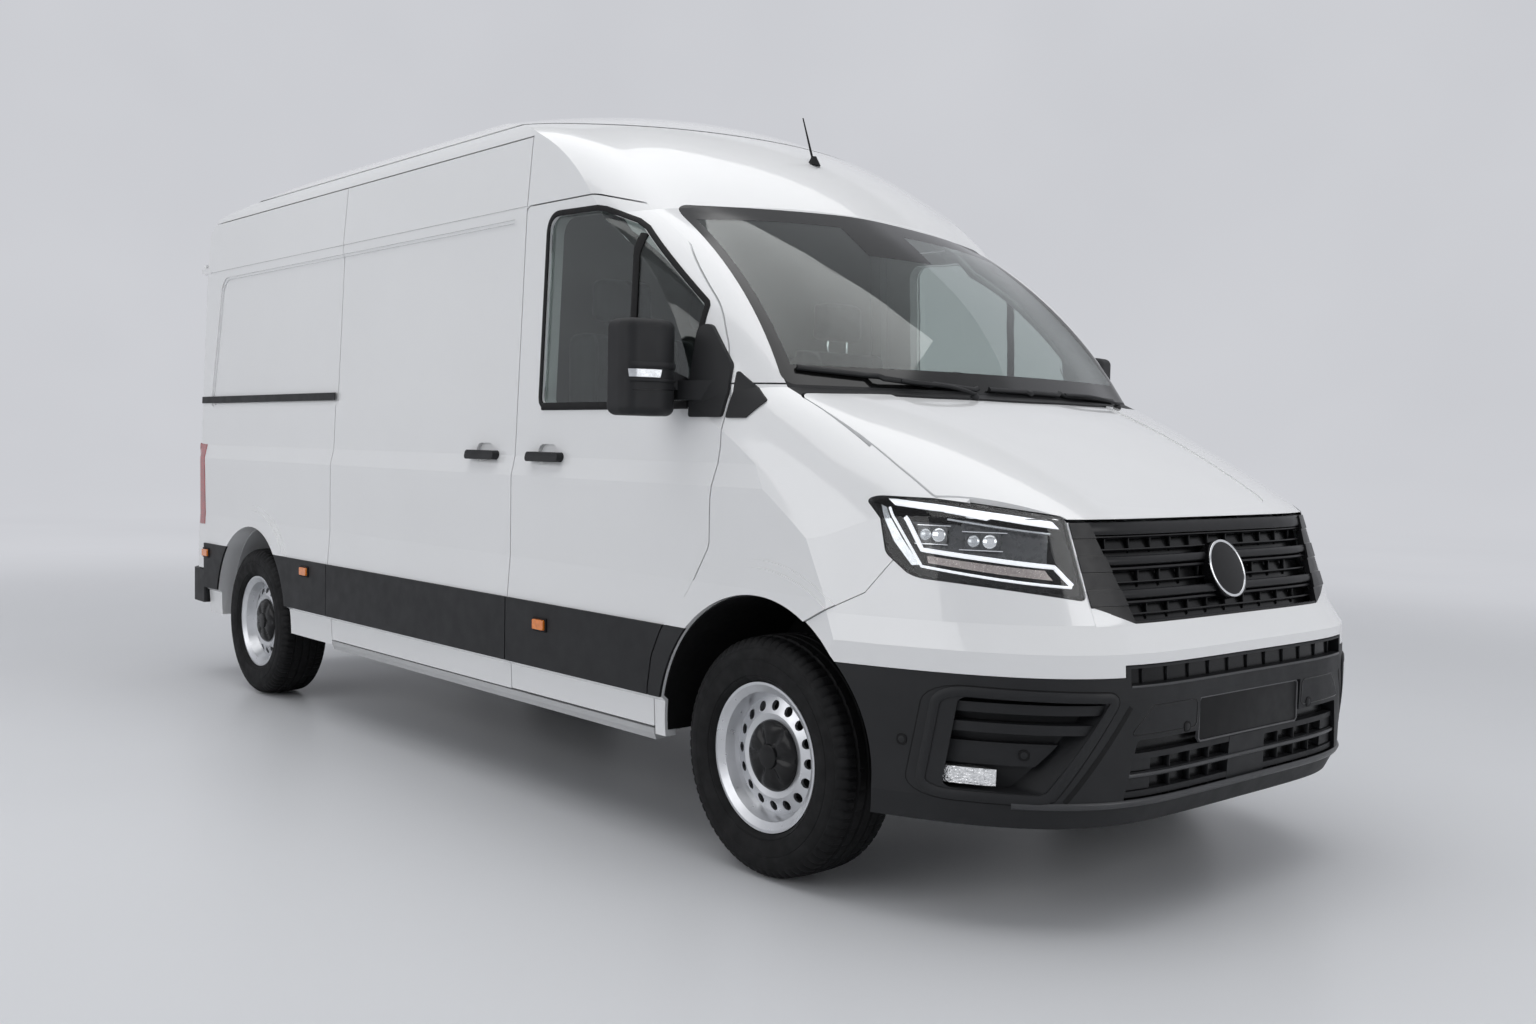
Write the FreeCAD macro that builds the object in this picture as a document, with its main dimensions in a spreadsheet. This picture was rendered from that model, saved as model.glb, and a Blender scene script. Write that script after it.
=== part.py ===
import FreeCAD, Part
import math
import os

import Sketcher
from FreeCAD import Placement, Rotation, Vector

# Large high-roof panel van with a long wheelbase.
# The origin is on the ground below the middle of the body, +X is forward, +Y is
# the left side and +Z is up. All sizes are in millimetres.

os.makedirs("parts", exist_ok=True)
doc = FreeCAD.newDocument("panel_van")
sheet = doc.addObject("Spreadsheet::Sheet", "sizes")

SIZES = {
    "overall_length": 5680,
    "overall_width": 2040,
    "overall_height": 2590,
    "front_overhang": 1000,
    "wheel_base": 3780,
    "track_front": 1740,
    "track_rear": 1750,
    "tyre_diameter": 712,
    "tyre_width": 235,
    "rim_seat_diameter": 406,
    "rim_flange_diameter": 441,
    "rim_width": 176,
    "rim_thickness": 7,
    "rim_hole_count": 16,
    "rim_hole_diameter": 30,
    "rim_hole_circle": 298,
    "rim_dish": 38,
    "hub_bore": 68,
    "bolt_circle": 120,
    "bolt_hole": 15,
    "bolt_count": 5,
    "hub_diameter": 150,
    "hub_length": 62,
    "arch_radius": 448,
    "rear_arch_radius": 434,
    "arch_lift": 30,
    "flare_width": 104,
    "press_depth": 10,
    "press_top": 2070,
    "press_bottom": 1408,
    "sill_height": 345,
    "floor_top": 570,
    "floor_thickness": 30,
    "cab_floor_top": 700,
    "wall": 62,
    "cantrail_radius": 160,
    "glass": 5,
    "frame_depth": 104,
    "bonnet_thickness": 38,
    "gap": 5,
    "seat_clearance": 0.3,
    "b_seam": 469,
    "rear_seam": -1058,
    "slider_top": 2362,
    "gutter": 2108,
    "belt": 1392,
    "mirror_reach": 1213,
    "rail_height": 1428,
    "handle_height": 1212,
    "crease_top": 1212,
    "crease_bottom": 1142,
    "cladding_top": 703,
    "cladding_bottom": 466,
    "cladding_thickness": 9,
    "bonnet_front": 1088,
    "grille_bottom": 815,
    "grille_bar_count": 4,
    "white_bottom": 684,
    "lip_height": 285,
    "rear_door_half": 905,
    "rear_door_seam": 8,
    "rear_door_rebate": 14,
    "rear_door_top": 2359,
    "wheel_box_half": 690,
    "partition_thickness": 25,
    "kingpin_y": 806,
    "arm_height": 195,
    "arm_thickness": 24,
    "brake_diameter": 260,
    "strut_radius": 30,
    "steering_wheel_diameter": 385,
    "steering_grip": 30,
    "steering_tilt": 40,
    "steering_height": 1410,
    "driver_y": 480,
}

for row, (alias, value) in enumerate(SIZES.items(), start=1):
    sheet.set("A%d" % row, alias.replace("_", " "))
    sheet.set("B%d" % row, str(value))
    sheet.setAlias("B%d" % row, alias)
doc.recompute()


def size(alias):
    return float(sheet.get(alias))


HALF_WIDTH = size("overall_width") / 2
FRONT_X = size("overall_length") / 2
REAR_X = -FRONT_X
AXLE_X = FRONT_X - size("front_overhang")
REAR_AXLE_X = AXLE_X - size("wheel_base")
WHEEL_Z = size("tyre_diameter") / 2
ROOF_Z = size("overall_height")
WALL = size("wall")
GAP = size("gap")
SEAT = size("seat_clearance")
SIDES = (("left", 1), ("right", -1))


# Plane outlines

def line_crossing(first_point, first_way, second_point, second_way):
    across = first_way[0] * second_way[1] - first_way[1] * second_way[0]
    dx = second_point[0] - first_point[0]
    dz = second_point[1] - first_point[1]
    travel = (dx * second_way[1] - dz * second_way[0]) / across
    return (first_point[0] + travel * first_way[0], first_point[1] + travel * first_way[1])


def inset_outline(points, distance):
    """Moves every side of a clockwise closed outline inwards by a distance."""
    if distance == 0:
        return list(points)
    sides = []
    count = len(points)
    for index in range(count):
        start = points[index]
        end = points[(index + 1) % count]
        length = math.hypot(end[0] - start[0], end[1] - start[1])
        way = ((end[0] - start[0]) / length, (end[1] - start[1]) / length)
        inward = (way[1], -way[0])
        origin = (start[0] + inward[0] * distance, start[1] + inward[1] * distance)
        sides.append((origin, way))
    moved = []
    for index in range(count):
        before = sides[index - 1]
        after = sides[index]
        cross = before[1][0] * after[1][1] - before[1][1] * after[1][0]
        if abs(cross) < 1e-4:
            moved.append(after[0])
        else:
            moved.append(line_crossing(before[0], before[1], after[0], after[1]))
    return moved


def rounded_edges(points, radii, place):
    """Edges of a closed outline with an arc at each corner that has a radius."""
    count = len(points)
    corners = []
    for index in range(count):
        corner = points[index]
        before = points[index - 1]
        after = points[(index + 1) % count]
        back = (before[0] - corner[0], before[1] - corner[1])
        ahead = (after[0] - corner[0], after[1] - corner[1])
        back_length = math.hypot(*back)
        ahead_length = math.hypot(*ahead)
        back = (back[0] / back_length, back[1] / back_length)
        ahead = (ahead[0] / ahead_length, ahead[1] / ahead_length)
        radius = radii[index % len(radii)]
        turn = math.acos(max(-1.0, min(1.0, back[0] * ahead[0] + back[1] * ahead[1])))
        if radius <= 0 or turn > math.radians(178):
            corners.append((corner, None, corner))
            continue
        reach = min(radius / math.tan(turn / 2), 0.48 * min(back_length, ahead_length))
        radius = reach * math.tan(turn / 2)
        start = (corner[0] + back[0] * reach, corner[1] + back[1] * reach)
        end = (corner[0] + ahead[0] * reach, corner[1] + ahead[1] * reach)
        middle_way = (back[0] + ahead[0], back[1] + ahead[1])
        middle_length = math.hypot(*middle_way)
        depth = radius / math.sin(turn / 2) - radius
        middle = (corner[0] + middle_way[0] / middle_length * depth,
                  corner[1] + middle_way[1] / middle_length * depth)
        corners.append((start, middle, end))
    edges = []
    for index in range(count):
        start, middle, end = corners[index]
        following = corners[(index + 1) % count][0]
        if middle:
            edges.append(Part.Arc(place(*start), place(*middle), place(*end)).toShape())
        if place(*end).distanceToPoint(place(*following)) > 1e-6:
            edges.append(Part.makeLine(place(*end), place(*following)))
    return edges


def prism(points, place, travel, radii=(0,)):
    edges = rounded_edges(points, radii, place)
    face = Part.Face(Part.Wire(Part.__sortEdges__(edges)))
    return face.extrude(travel)


def side_prism(points, near, far, radii=(0,)):
    """A side-view outline of (x, z) points, run from one y to another."""
    return prism(points, lambda x, z: Vector(x, near, z), Vector(0, far - near, 0), radii)


def front_prism(points, near, far, radii=(0,)):
    """A front-view outline of (y, z) points, run from one x to another."""
    return prism(points, lambda y, z: Vector(near, y, z), Vector(far - near, 0, 0), radii)


def top_prism(points, low, high, radii=(0,)):
    """A top-view outline of (x, y) points, run from one z to another."""
    return prism(points, lambda x, y: Vector(x, y, low), Vector(0, 0, high - low), radii)


def box_between(low, high):
    return Part.makeBox(high[0] - low[0], high[1] - low[1], high[2] - low[2], Vector(*low))


def mirrored(shape):
    return shape.mirror(Vector(0, 0, 0), Vector(0, 1, 0))


def for_side(shape, sign):
    """Shapes are drawn on the left side, and the right one is the mirror image."""
    return shape if sign > 0 else mirrored(shape)


# Outer form of the body

THIN = 20
STATION_SHARES = (0, 0.34, 0.6, 0.75, 0.84, 0.89, 0.93, 0.97, 1.01)
FRONT_SWEEP = 641
FRONT_SWEEP_POWER = 5.2
ROOF_CROWN = 0.000152
COWL_Z = 1442
COWL_X = FRONT_X - 905
HEADER_X = FRONT_X - 1643
HEADER_Z = 2105
BONNET_FRONT_X = FRONT_X - 158


def plan_sweep(y):
    """How far the nose falls back at a distance y from the middle."""
    return FRONT_SWEEP * (abs(y) / 1000) ** FRONT_SWEEP_POWER


def screen_sweep(y, at_middle):
    beyond = max(0.0, abs(y) - 850)
    return at_middle * (abs(y) / 850) ** 2.2 + 0.014 * beyond ** 2


def shoulder_drop(y):
    beyond = max(0.0, abs(y) - 880)
    return 0.006 * beyond ** 2


def profile(y, inset):
    """Side view of the body at a distance y from the middle, clockwise from the rear.

    Returns the points and the runs between them, as (number of points, curved or not).
    """
    nose = plan_sweep(y)
    base = screen_sweep(y, 150)
    head = screen_sweep(y, 85)
    crown = ROOF_CROWN * y * y
    shoulder = shoulder_drop(y)
    corner = REAR_X + 0.012 * max(0.0, abs(y) - 880) ** 2
    low = size("lip_height")
    nose_top = size("bonnet_front")
    rear = [(corner + 60, low), (corner + 30, 560), (corner + 28, 1300), (corner + 110, 2330)]
    roof = [
        (corner + 134, 2462 - crown),
        (corner + 215, 2516 - crown),
        (REAR_X + 900, ROOF_Z - 30 - crown),
        (REAR_X + 1900, ROOF_Z - 5 - crown),
        (AXLE_X - 2250, ROOF_Z - 2 - crown),
        (AXLE_X - 1700, ROOF_Z - 14 - crown),
        (AXLE_X - 1350 - 0.5 * head, ROOF_Z - 62 - crown),
        (AXLE_X - 1000 - 0.8 * head, ROOF_Z - 190 - crown),
        (HEADER_X - head, HEADER_Z - 0.6 * crown),
    ]
    screen = [
        (0.5 * (HEADER_X - head + COWL_X - base) + 22, 0.5 * (HEADER_Z + COWL_Z) + 20),
        (COWL_X - base, COWL_Z - shoulder),
    ]
    bonnet = [
        (0.5 * (COWL_X - base + BONNET_FRONT_X - nose), 0.5 * (COWL_Z + nose_top) + 26 - shoulder),
        (BONNET_FRONT_X - nose, nose_top - shoulder),
    ]
    front = [
        (FRONT_X - 58 - nose, size("grille_bottom")),
        (FRONT_X - 6 - nose, size("white_bottom") + 60),
    ]
    if inset < THIN:
        front += [(FRONT_X - nose, size("white_bottom") - 60), (FRONT_X - 8 - nose, low + 70)]
    front.append((FRONT_X - 45 - nose, low))
    if inset > THIN:
        rear.pop(1)
    points = rear + roof + screen + bonnet + front
    runs = [(len(rear) + 1, False), (len(roof) - 2, True),
            (len(screen), True), (len(bonnet), True), (len(front), False), (1, False)]
    return inset_outline(points, inset), runs


def outline_edges(points, runs, place):
    """Joins the points in runs, each of which is straight pieces or one smooth curve."""
    edges = []
    index = 0
    for length, curved in runs:
        run = [place(*points[(index + step) % len(points)]) for step in range(length + 1)]
        if curved:
            curve = Part.BSplineCurve()
            curve.interpolate(run)
            edges.append(curve.toShape())
        else:
            edges += [Part.makeLine(start, end) for start, end in zip(run, run[1:])]
        index += length
    return edges


def profile_wire(y, shown_y, inset):
    points, runs = profile(y, inset)
    return Part.Wire(outline_edges(points, runs, lambda x, z: Vector(x, shown_y, z)))


def section_points(inset):
    """Front view of the right half of the hull's side, as (y, z) from the bottom up."""
    half = HALF_WIDTH
    if inset > THIN:
        return [
            (half - 34, size("lip_height") - 20),
            (half - 22, size("crease_bottom")),
            (half - 44, size("belt")),
            (half - 76, size("gutter")),
            (half - 98, 2345),
        ]
    return [
        (half - 62, size("lip_height") - 20),
        (half - 34, size("sill_height")),
        (half - 28, size("cladding_bottom") - 8),
        (half - size("cladding_thickness"), size("cladding_bottom") + 8),
        (half - size("cladding_thickness"), size("cladding_top")),
        (half - 20, size("cladding_top") + 147),
        (half - 20, size("crease_bottom")),
        (half - 36, size("crease_top")),
        (half - 44, size("belt")),
        (half - 76, size("gutter")),
        (half - 98, 2345),
    ]


def section_prism(inset):
    side = section_points(inset)
    radius = size("cantrail_radius")
    lean = math.atan2(side[-2][0] - side[-1][0], side[-1][1] - side[-2][1])
    centre = (side[-1][0] - radius * math.cos(lean), side[-1][1] - radius * math.sin(lean))
    arc = []
    for degrees in (25, 45, 62, 78):
        turn = math.radians(degrees)
        arc.append((centre[0] + radius * math.cos(turn), centre[1] + radius * math.sin(turn)))
    top = (0.0, arc[-1][1] + arc[-1][0] * math.tan(math.radians(12)))
    right = side + arc
    loop = [(-y, z) for y, z in right] + [top] + [(y, z) for y, z in reversed(right)]
    runs = [(len(side) - 1, False), (len(arc), True), (2, False), (len(arc), True),
            (len(side), False)]
    loop = inset_outline(loop, inset)
    edges = outline_edges(loop, runs, lambda y, z: Vector(REAR_X - 50, y, z))
    face = Part.Face(Part.Wire(edges))
    return face.extrude(Vector(size("overall_length") + 100, 0, 0))


FORMS = {}


def form(inset):
    """The closed outer form of the body, with every side moved inwards."""
    if inset in FORMS:
        return FORMS[inset]
    scale = 1 - inset / HALF_WIDTH
    stations = [share * HALF_WIDTH for share in STATION_SHARES]
    stations = [-y for y in reversed(stations[1:])] + stations
    wires = [profile_wire(y, y * scale, inset) for y in stations]
    loft = Part.makeLoft(wires, True, False)
    shape = loft.common(section_prism(inset))
    FORMS[inset] = shape.Solids[0] if len(shape.Solids) == 1 else shape
    return FORMS[inset]


NODES = {}


def keep(name, shape):
    """Stores a computed shape as a sub-part of the document."""
    feature = doc.addObject("Part::Feature", name)
    feature.Label = name
    feature.Shape = shape
    NODES[name] = feature
    return feature


def solids_of(shape):
    return sorted(shape.Solids, key=lambda solid: -solid.Volume)


def biggest(shape):
    return solids_of(shape)[0]


def bigger_than(shape, volume):
    """The solids over a volume, without the slivers that a cut may leave at a curved edge."""
    return Part.makeCompound([solid for solid in shape.Solids if solid.Volume > volume])


def layer(outer, inner, region):
    """The part of the body's skin between two insets that lies in a region."""
    return form(outer).common(region).cut(form(inner))


def under_body(inset):
    """What the sills stand beside: the space below the floor, between the side walls."""
    half = HALF_WIDTH - 34 - inset
    return box_between((REAR_X - 50, -half, 0), (AXLE_X, half, size("lip_height") + inset + 20))


FIREWALL_X = AXLE_X - 143
ANTENNA_X = AXLE_X - 880

# Seams between the panels, in side view

SILL = size("sill_height")
B_SEAM = size("b_seam")
REAR_SEAM = size("rear_seam")
SLIDER_TOP = size("slider_top")
GUTTER = size("gutter")
BELT = size("belt")
ARCH_Z = WHEEL_Z + size("arch_lift")
DOOR_FRONT = AXLE_X - 203
DOOR_LOW_FRONT = AXLE_X - 501
PILLAR_BASE = 1452

door_outline = [
    (B_SEAM, SILL + 22),
    (B_SEAM, GUTTER),
    (B_SEAM + 430, GUTTER - 4),
    (B_SEAM + 640, GUTTER - 52),
    (B_SEAM + 800, GUTTER - 150),
    (DOOR_FRONT - 105, GUTTER - 418),
    (DOOR_FRONT - 42, GUTTER - 540),
    (DOOR_FRONT, BELT + 10),
    (DOOR_FRONT, BELT - 130),
    (DOOR_FRONT - 24, size("crease_bottom") - 40),
    (DOOR_FRONT - 24, size("crease_bottom") - 180),
    (DOOR_FRONT - 130, 802),
    (DOOR_FRONT - 232, 692),
    (DOOR_LOW_FRONT + 18, 600),
    (DOOR_LOW_FRONT, 500),
    (DOOR_LOW_FRONT, SILL + 22),
]
DOOR_RADII = (6, 26, 220, 300, 0, 300, 200, 80, 60, 40, 60, 200, 200, 80, 60, 6)

window_outline = [
    (B_SEAM + 160, BELT + 6),
    (B_SEAM + 160, GUTTER - 54),
    (B_SEAM + 470, GUTTER - 64),
    (B_SEAM + 664, GUTTER - 130),
    (DOOR_FRONT - 160, GUTTER - 410),
    (DOOR_FRONT - 160, BELT + 6),
]
WINDOW_RADII = (24, 60, 120, 160, 10, 10)

sail_outline = [
    (DOOR_FRONT - 155, BELT - 42),
    (DOOR_FRONT - 155, GUTTER - 416),
    (DOOR_FRONT - 10, BELT + 118),
    (DOOR_FRONT - 8, BELT - 42),
]

pillar_trim_outline = [
    (DOOR_FRONT + 6, BELT - 44),
    (DOOR_FRONT + 6, BELT + 102),
    (DOOR_FRONT + 138, BELT + 8),
    (DOOR_FRONT + 84, BELT - 44),
]

SCREEN_LOW_HALF = 858
SCREEN_TOP_HALF = 782
screen_outline = [
    (-SCREEN_LOW_HALF, PILLAR_BASE - 2),
    (-SCREEN_TOP_HALF, HEADER_Z - 40),
    (0, HEADER_Z - 2),
    (SCREEN_TOP_HALF, HEADER_Z - 40),
    (SCREEN_LOW_HALF, PILLAR_BASE - 2),
]
SCREEN_RADII = (30, 70, 2500, 70, 30)

lamp_outline = [
    (612, size("bonnet_front") + 2),
    (835, size("bonnet_front") + 46),
    (921, size("bonnet_front") + 50),
    (927, size("bonnet_front") - 103),
    (905, size("bonnet_front") - 162),
    (612, size("bonnet_front") - 212),
]
LAMP_RADII = (14, 60, 24, 60, 30, 16)

fog_outline = [
    (598, size("white_bottom") - 62),
    (880, size("white_bottom") - 56),
    (896, size("lip_height") + 96),
    (752, size("lip_height") + 96),
]
intake_outline = [
    (-560, size("lip_height") + 64),
    (-520, size("lip_height") + 232),
    (520, size("lip_height") + 232),
    (560, size("lip_height") + 64),
]
GRILLE_HALF_TOP = 604
GRILLE_HALF_BOTTOM = 545
grille_outline = [
    (-GRILLE_HALF_TOP, size("bonnet_front") - 6),
    (GRILLE_HALF_TOP, size("bonnet_front") - 6),
    (GRILLE_HALF_BOTTOM, size("grille_bottom")),
    (-GRILLE_HALF_BOTTOM, size("grille_bottom")),
]
GRILLE_RADII = (10, 10, 20, 20)

BONNET_HALF = 850
BONNET_REAR_CORNER = COWL_X - 95
bonnet_outline = [
    (BONNET_REAR_CORNER, BONNET_HALF),
    (COWL_X + 155, BONNET_HALF - 12),
    (COWL_X + 300, BONNET_HALF - 15),
    (COWL_X + 430, BONNET_HALF - 22),
    (BONNET_FRONT_X - 62, 618),
    (FRONT_X, 560),
    (FRONT_X, -560),
    (BONNET_FRONT_X - 62, -618),
    (COWL_X + 430, -(BONNET_HALF - 22)),
    (COWL_X + 300, -(BONNET_HALF - 15)),
    (COWL_X + 155, -(BONNET_HALF - 12)),
    (BONNET_REAR_CORNER, -BONNET_HALF),
    (COWL_X + 18, -420),
    (COWL_X + 55, 0),
    (COWL_X + 18, 420),
]
BONNET_RADII = (20, 0, 0, 30, 30, 10, 10, 30, 30, 0, 0, 20, 900, 1600, 900)


def grown(points, distance):
    """Moves an outline outwards, whichever way round its points run."""
    area = 0
    for start, end in zip(points, points[1:] + points[:1]):
        area += start[0] * end[1] - end[0] * start[1]
    return inset_outline(points, -distance if area < 0 else distance)


def wheel_cylinder(axle, radius, near, far):
    return Part.makeCylinder(radius, far - near, Vector(axle, near, ARCH_Z), Vector(0, 1, 0))


def both(shape):
    """A left-hand cutter with its mirror image."""
    return shape.fuse(mirrored(shape))


FAR = HALF_WIDTH + 100
DOOR_NEAR = 860
door_cut = both(side_prism(grown(door_outline, GAP / 2), DOOR_NEAR, FAR, DOOR_RADII))
screen_cut = front_prism(grown(screen_outline, 0.01), HEADER_X - 320, COWL_X + 60, SCREEN_RADII)
LAMP_REAR_X = AXLE_X + 230
lamp_cut = both(front_prism(grown(lamp_outline, 1.5), LAMP_REAR_X, FRONT_X + 50, LAMP_RADII))
lamp_clearance = both(front_prism(grown(lamp_outline, GAP), LAMP_REAR_X, FRONT_X + 50, LAMP_RADII))
grille_cut = front_prism(grown(grille_outline, SEAT), FRONT_X - 400, FRONT_X + 50, GRILLE_RADII)
bonnet_cut = top_prism(grown(bonnet_outline, GAP), size("bonnet_front") - 8, 1800, BONNET_RADII)
rear_door_outline = [
    (size("rear_door_seam") / 2, size("floor_top") + GAP),
    (size("rear_door_seam") / 2, size("rear_door_top")),
    (size("rear_door_half") - 85, size("rear_door_top")),
    (size("rear_door_half") - 45, size("rear_door_top") - 130),
    (size("rear_door_half"), size("crease_top") + 30),
    (size("rear_door_half"), size("floor_top") + GAP),
]
REAR_RADII = (6, 6, 60, 90, 200, 30)
REAR_DOOR_INNER_X = REAR_X + 178
rear_opening = both(front_prism(grown(rear_door_outline, GAP), REAR_X - 60, REAR_DOOR_INNER_X + GAP, REAR_RADII))
rear_lamp_outline = [
    (size("rear_door_half") + 9, 652),
    (size("rear_door_half") + 9, size("crease_top") + 8),
    (HALF_WIDTH + 40, size("crease_top") + 8),
    (HALF_WIDTH + 40, 652),
]
REAR_LAMP_FRONT_X = REAR_X + 165
REAR_LAMP_RADII = (10, 16, 0, 0)
rear_lamp_cut = both(front_prism(
    grown(rear_lamp_outline, SEAT), REAR_X - 60, REAR_LAMP_FRONT_X + SEAT, REAR_LAMP_RADII))


cowl_space = box_between((COWL_X - 260, -BONNET_HALF - SEAT, 1200), (COWL_X + 200, BONNET_HALF + SEAT, 1500))


def slab(low_x, high_x, low_z, high_z):
    """A box right across the body."""
    return box_between((low_x, -FAR, low_z), (high_x, FAR, high_z))


LEFT_HALF = box_between((REAR_X - 100, 600, 0), (FRONT_X + 100, FAR, 3000))
RIGHT_HALF = mirrored(LEFT_HALF)


press_outline = [
    (REAR_LAMP_FRONT_X + 105, size("press_bottom")),
    (REAR_LAMP_FRONT_X + 190, size("press_top")),
    (B_SEAM - 42, size("press_top")),
    (B_SEAM - 42, size("press_bottom")),
]
PRESS_RADII = (34, 80, 46, 34)


def side_pressing():
    """What the pressed field takes from both side walls: a step down over a narrow slope."""
    whole = both(side_prism(press_outline, 700, FAR, PRESS_RADII))
    middle = both(side_prism(inset_outline(press_outline, 12), 700, FAR, PRESS_RADII))
    seam = slab(REAR_LAMP_FRONT_X + 20, B_SEAM + 5, GUTTER - 3, GUTTER + 3)
    return [layer(-4, 5, whole), layer(-4, size("press_depth"), middle), layer(-4, 5, seam)]


def flares(axle, radius):
    """Two steps of raised rim round the arches of one axle, above the cladding."""
    width = size("flare_width")
    rims = []
    for offset, reach in ((-4, width), (-size("cladding_thickness"), width - 24)):
        disc = wheel_cylinder(axle, radius + reach, -FAR, FAR)
        rims.append(form(offset).common(disc))
    above = slab(axle - radius - 200, axle + radius + 200, size("cladding_top") + 2, 1400)
    return rims[0].fuse(rims[1]).common(above).cut(wheel_cylinder(axle, radius, -FAR, FAR)).cut(form(14))


def handle_scoops():
    """Finger dishes behind the pull handles of the front doors and the sliding door."""
    height = size("handle_height")
    dishes = []
    for middle_x in (B_SEAM - 215, B_SEAM + 215):
        dish = side_prism([(middle_x - 62, height - 22), (middle_x - 62, height + 44),
                           (middle_x + 62, height + 44), (middle_x + 62, height - 22)], 700, FAR, (22, 33, 33, 22))
        dishes.append(both(dish))
    return [layer(-4, 14, dish) for dish in dishes]


LAMP_WALL = 7
LAMP_DEPTH = 72
FENDER_DEPTH = 42
BUMPER_DEPTH = 60
UPPER_DEPTH = 34
GRILLE_DEPTH = 40
INTAKE_DEPTH = 40
BUMPER_STEP = 119
PLATE_SEAT_DEPTH = 16


def make_body_panels():
    seam = GAP / 2
    top = SLIDER_TOP
    pressing = side_pressing()
    scoop = handle_scoops()[0]
    roof_outline = [
        (REAR_X - 100, top + seam),
        (REAR_X - 100, ROOF_Z + 50),
        (COWL_X + 100, ROOF_Z + 50),
        (COWL_X + 100, PILLAR_BASE + seam),
        (B_SEAM + seam, PILLAR_BASE + seam),
        (B_SEAM + seam, top + seam),
    ]
    roof = layer(0, WALL, side_prism(roof_outline, -FAR, FAR))
    roof = roof.cut(door_cut).cut(screen_cut).cut(rear_opening)
    roof = roof.cut(cowl_space)
    ditch = slab(REAR_X + 190, B_SEAM + 330, 2424, 2431)
    roof = roof.cut(layer(-4, 10, ditch))
    keep("roof", biggest(roof))

    arch = wheel_cylinder(REAR_AXLE_X, size("rear_arch_radius"), -FAR, FAR)
    bumper_space = slab(REAR_X - 50, REAR_X + 300, 0, size("floor_top") + 1)
    side_region = slab(REAR_X - 100, B_SEAM - seam, SILL, top - seam)
    below = under_body(WALL)
    left = layer(0, WALL, side_region.common(LEFT_HALF)).cut(below)
    rims = flares(REAR_AXLE_X, size("rear_arch_radius"))
    left = left.cut(arch).cut(rear_opening).cut(rear_lamp_cut).cut(bumper_space)
    left = biggest(left).cut(pressing)
    leaves = rear_hinges("post")
    keep("side_left", biggest(biggest(left).fuse(leaves + [rims.common(LEFT_HALF)])))
    quarter_region = slab(REAR_X - 100, REAR_SEAM - seam, SILL, top - seam)
    quarter = layer(0, WALL, quarter_region.common(RIGHT_HALF)).cut(below)
    quarter = quarter.cut(arch).cut(rear_opening).cut(rear_lamp_cut).cut(bumper_space)
    quarter = biggest(quarter).cut(pressing)
    leaves = [mirrored(leaf) for leaf in leaves]
    keep("quarter_right", biggest(biggest(quarter).fuse(leaves + [rims.common(RIGHT_HALF)])))
    slider_region = slab(REAR_SEAM + seam, B_SEAM - seam, SILL + 22, top - seam)
    slider = biggest(layer(0, WALL, slider_region.common(RIGHT_HALF)))
    keep("sliding_door", biggest(slider.cut(pressing + [scoop])))

    fender_outline = [
        (DOOR_LOW_FRONT - 40, SILL),
        (DOOR_LOW_FRONT - 40, PILLAR_BASE - seam),
        (COWL_X + 100, PILLAR_BASE - seam),
        (FRONT_X - 400, size("bonnet_front") + 100),
        (FRONT_X - 400, size("bonnet_front") - 60),
        (AXLE_X + 475, size("bonnet_front") - 103),
        (AXLE_X + 397, 877),
        (AXLE_X + 211, 781),
        (AXLE_X + 150, SILL),
    ]
    front_arch = wheel_cylinder(AXLE_X, size("arch_radius"), -FAR, FAR)
    fender_region = side_prism(fender_outline, 300, FAR)
    front_rims = flares(AXLE_X, size("arch_radius")).common(fender_region)
    fender = biggest(layer(0, FENDER_DEPTH, fender_region)).fuse(front_rims)
    tail = box_between((DOOR_LOW_FRONT - 60, 0, 0), (DOOR_LOW_FRONT + seam, FAR, 1000))
    fender = fender.cut(door_cut).cut(front_arch).cut(screen_cut).cut(bonnet_cut).cut(lamp_cut).cut(tail)
    fender = fender.cut(cowl_space)
    fender = biggest(fender)
    for side, sign in SIDES:
        keep("fender_" + side, for_side(fender, sign))

    bonnet_region = top_prism(bonnet_outline, size("bonnet_front") - 1, 1800, BONNET_RADII)
    bonnet = layer(0, size("bonnet_thickness"), bonnet_region).cut(lamp_clearance)
    hollow = top_prism([
        (COWL_X - 100, 560), (BONNET_FRONT_X - 60, 430), (BONNET_FRONT_X - 20, 0),
        (BONNET_FRONT_X - 60, -430), (COWL_X - 100, -560),
    ], size("bonnet_front") - 8, 1800, (10, 60, 900, 60, 10))
    bonnet = biggest(bonnet).cut(layer(-4, 5, hollow))
    keep("bonnet", biggest(bonnet))

    screen = layer(0, size("glass"), front_prism(
        inset_outline(screen_outline, 0.3), HEADER_X - 300, COWL_X + 60, SCREEN_RADII))
    keep("windscreen", biggest(screen))

    cowl_region = box_between((COWL_X - 260 + SEAT, -BONNET_HALF, COWL_Z - 60), (COWL_X + 100, BONNET_HALF, 1500))
    cowl = layer(0, 40, cowl_region).cut(bonnet_cut).cut(screen_cut)
    keep("cowl", biggest(cowl))

    fender_side = side_prism(grown(fender_outline, seam), -FAR, FAR)
    white_low = size("white_bottom")
    white_region = slab(AXLE_X + 100, FRONT_X + 50, white_low, size("bonnet_front") - 10)
    notch = box_between((FRONT_X - 300, -565, 0), (FRONT_X + 50, 565, white_low + 32))
    upper = layer(0, UPPER_DEPTH, white_region).cut(fender_side).cut(front_arch)
    upper = upper.cut(lamp_cut).cut(grille_cut).cut(notch).cut(bonnet_cut)
    keep("bumper_upper", biggest(upper))

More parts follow.
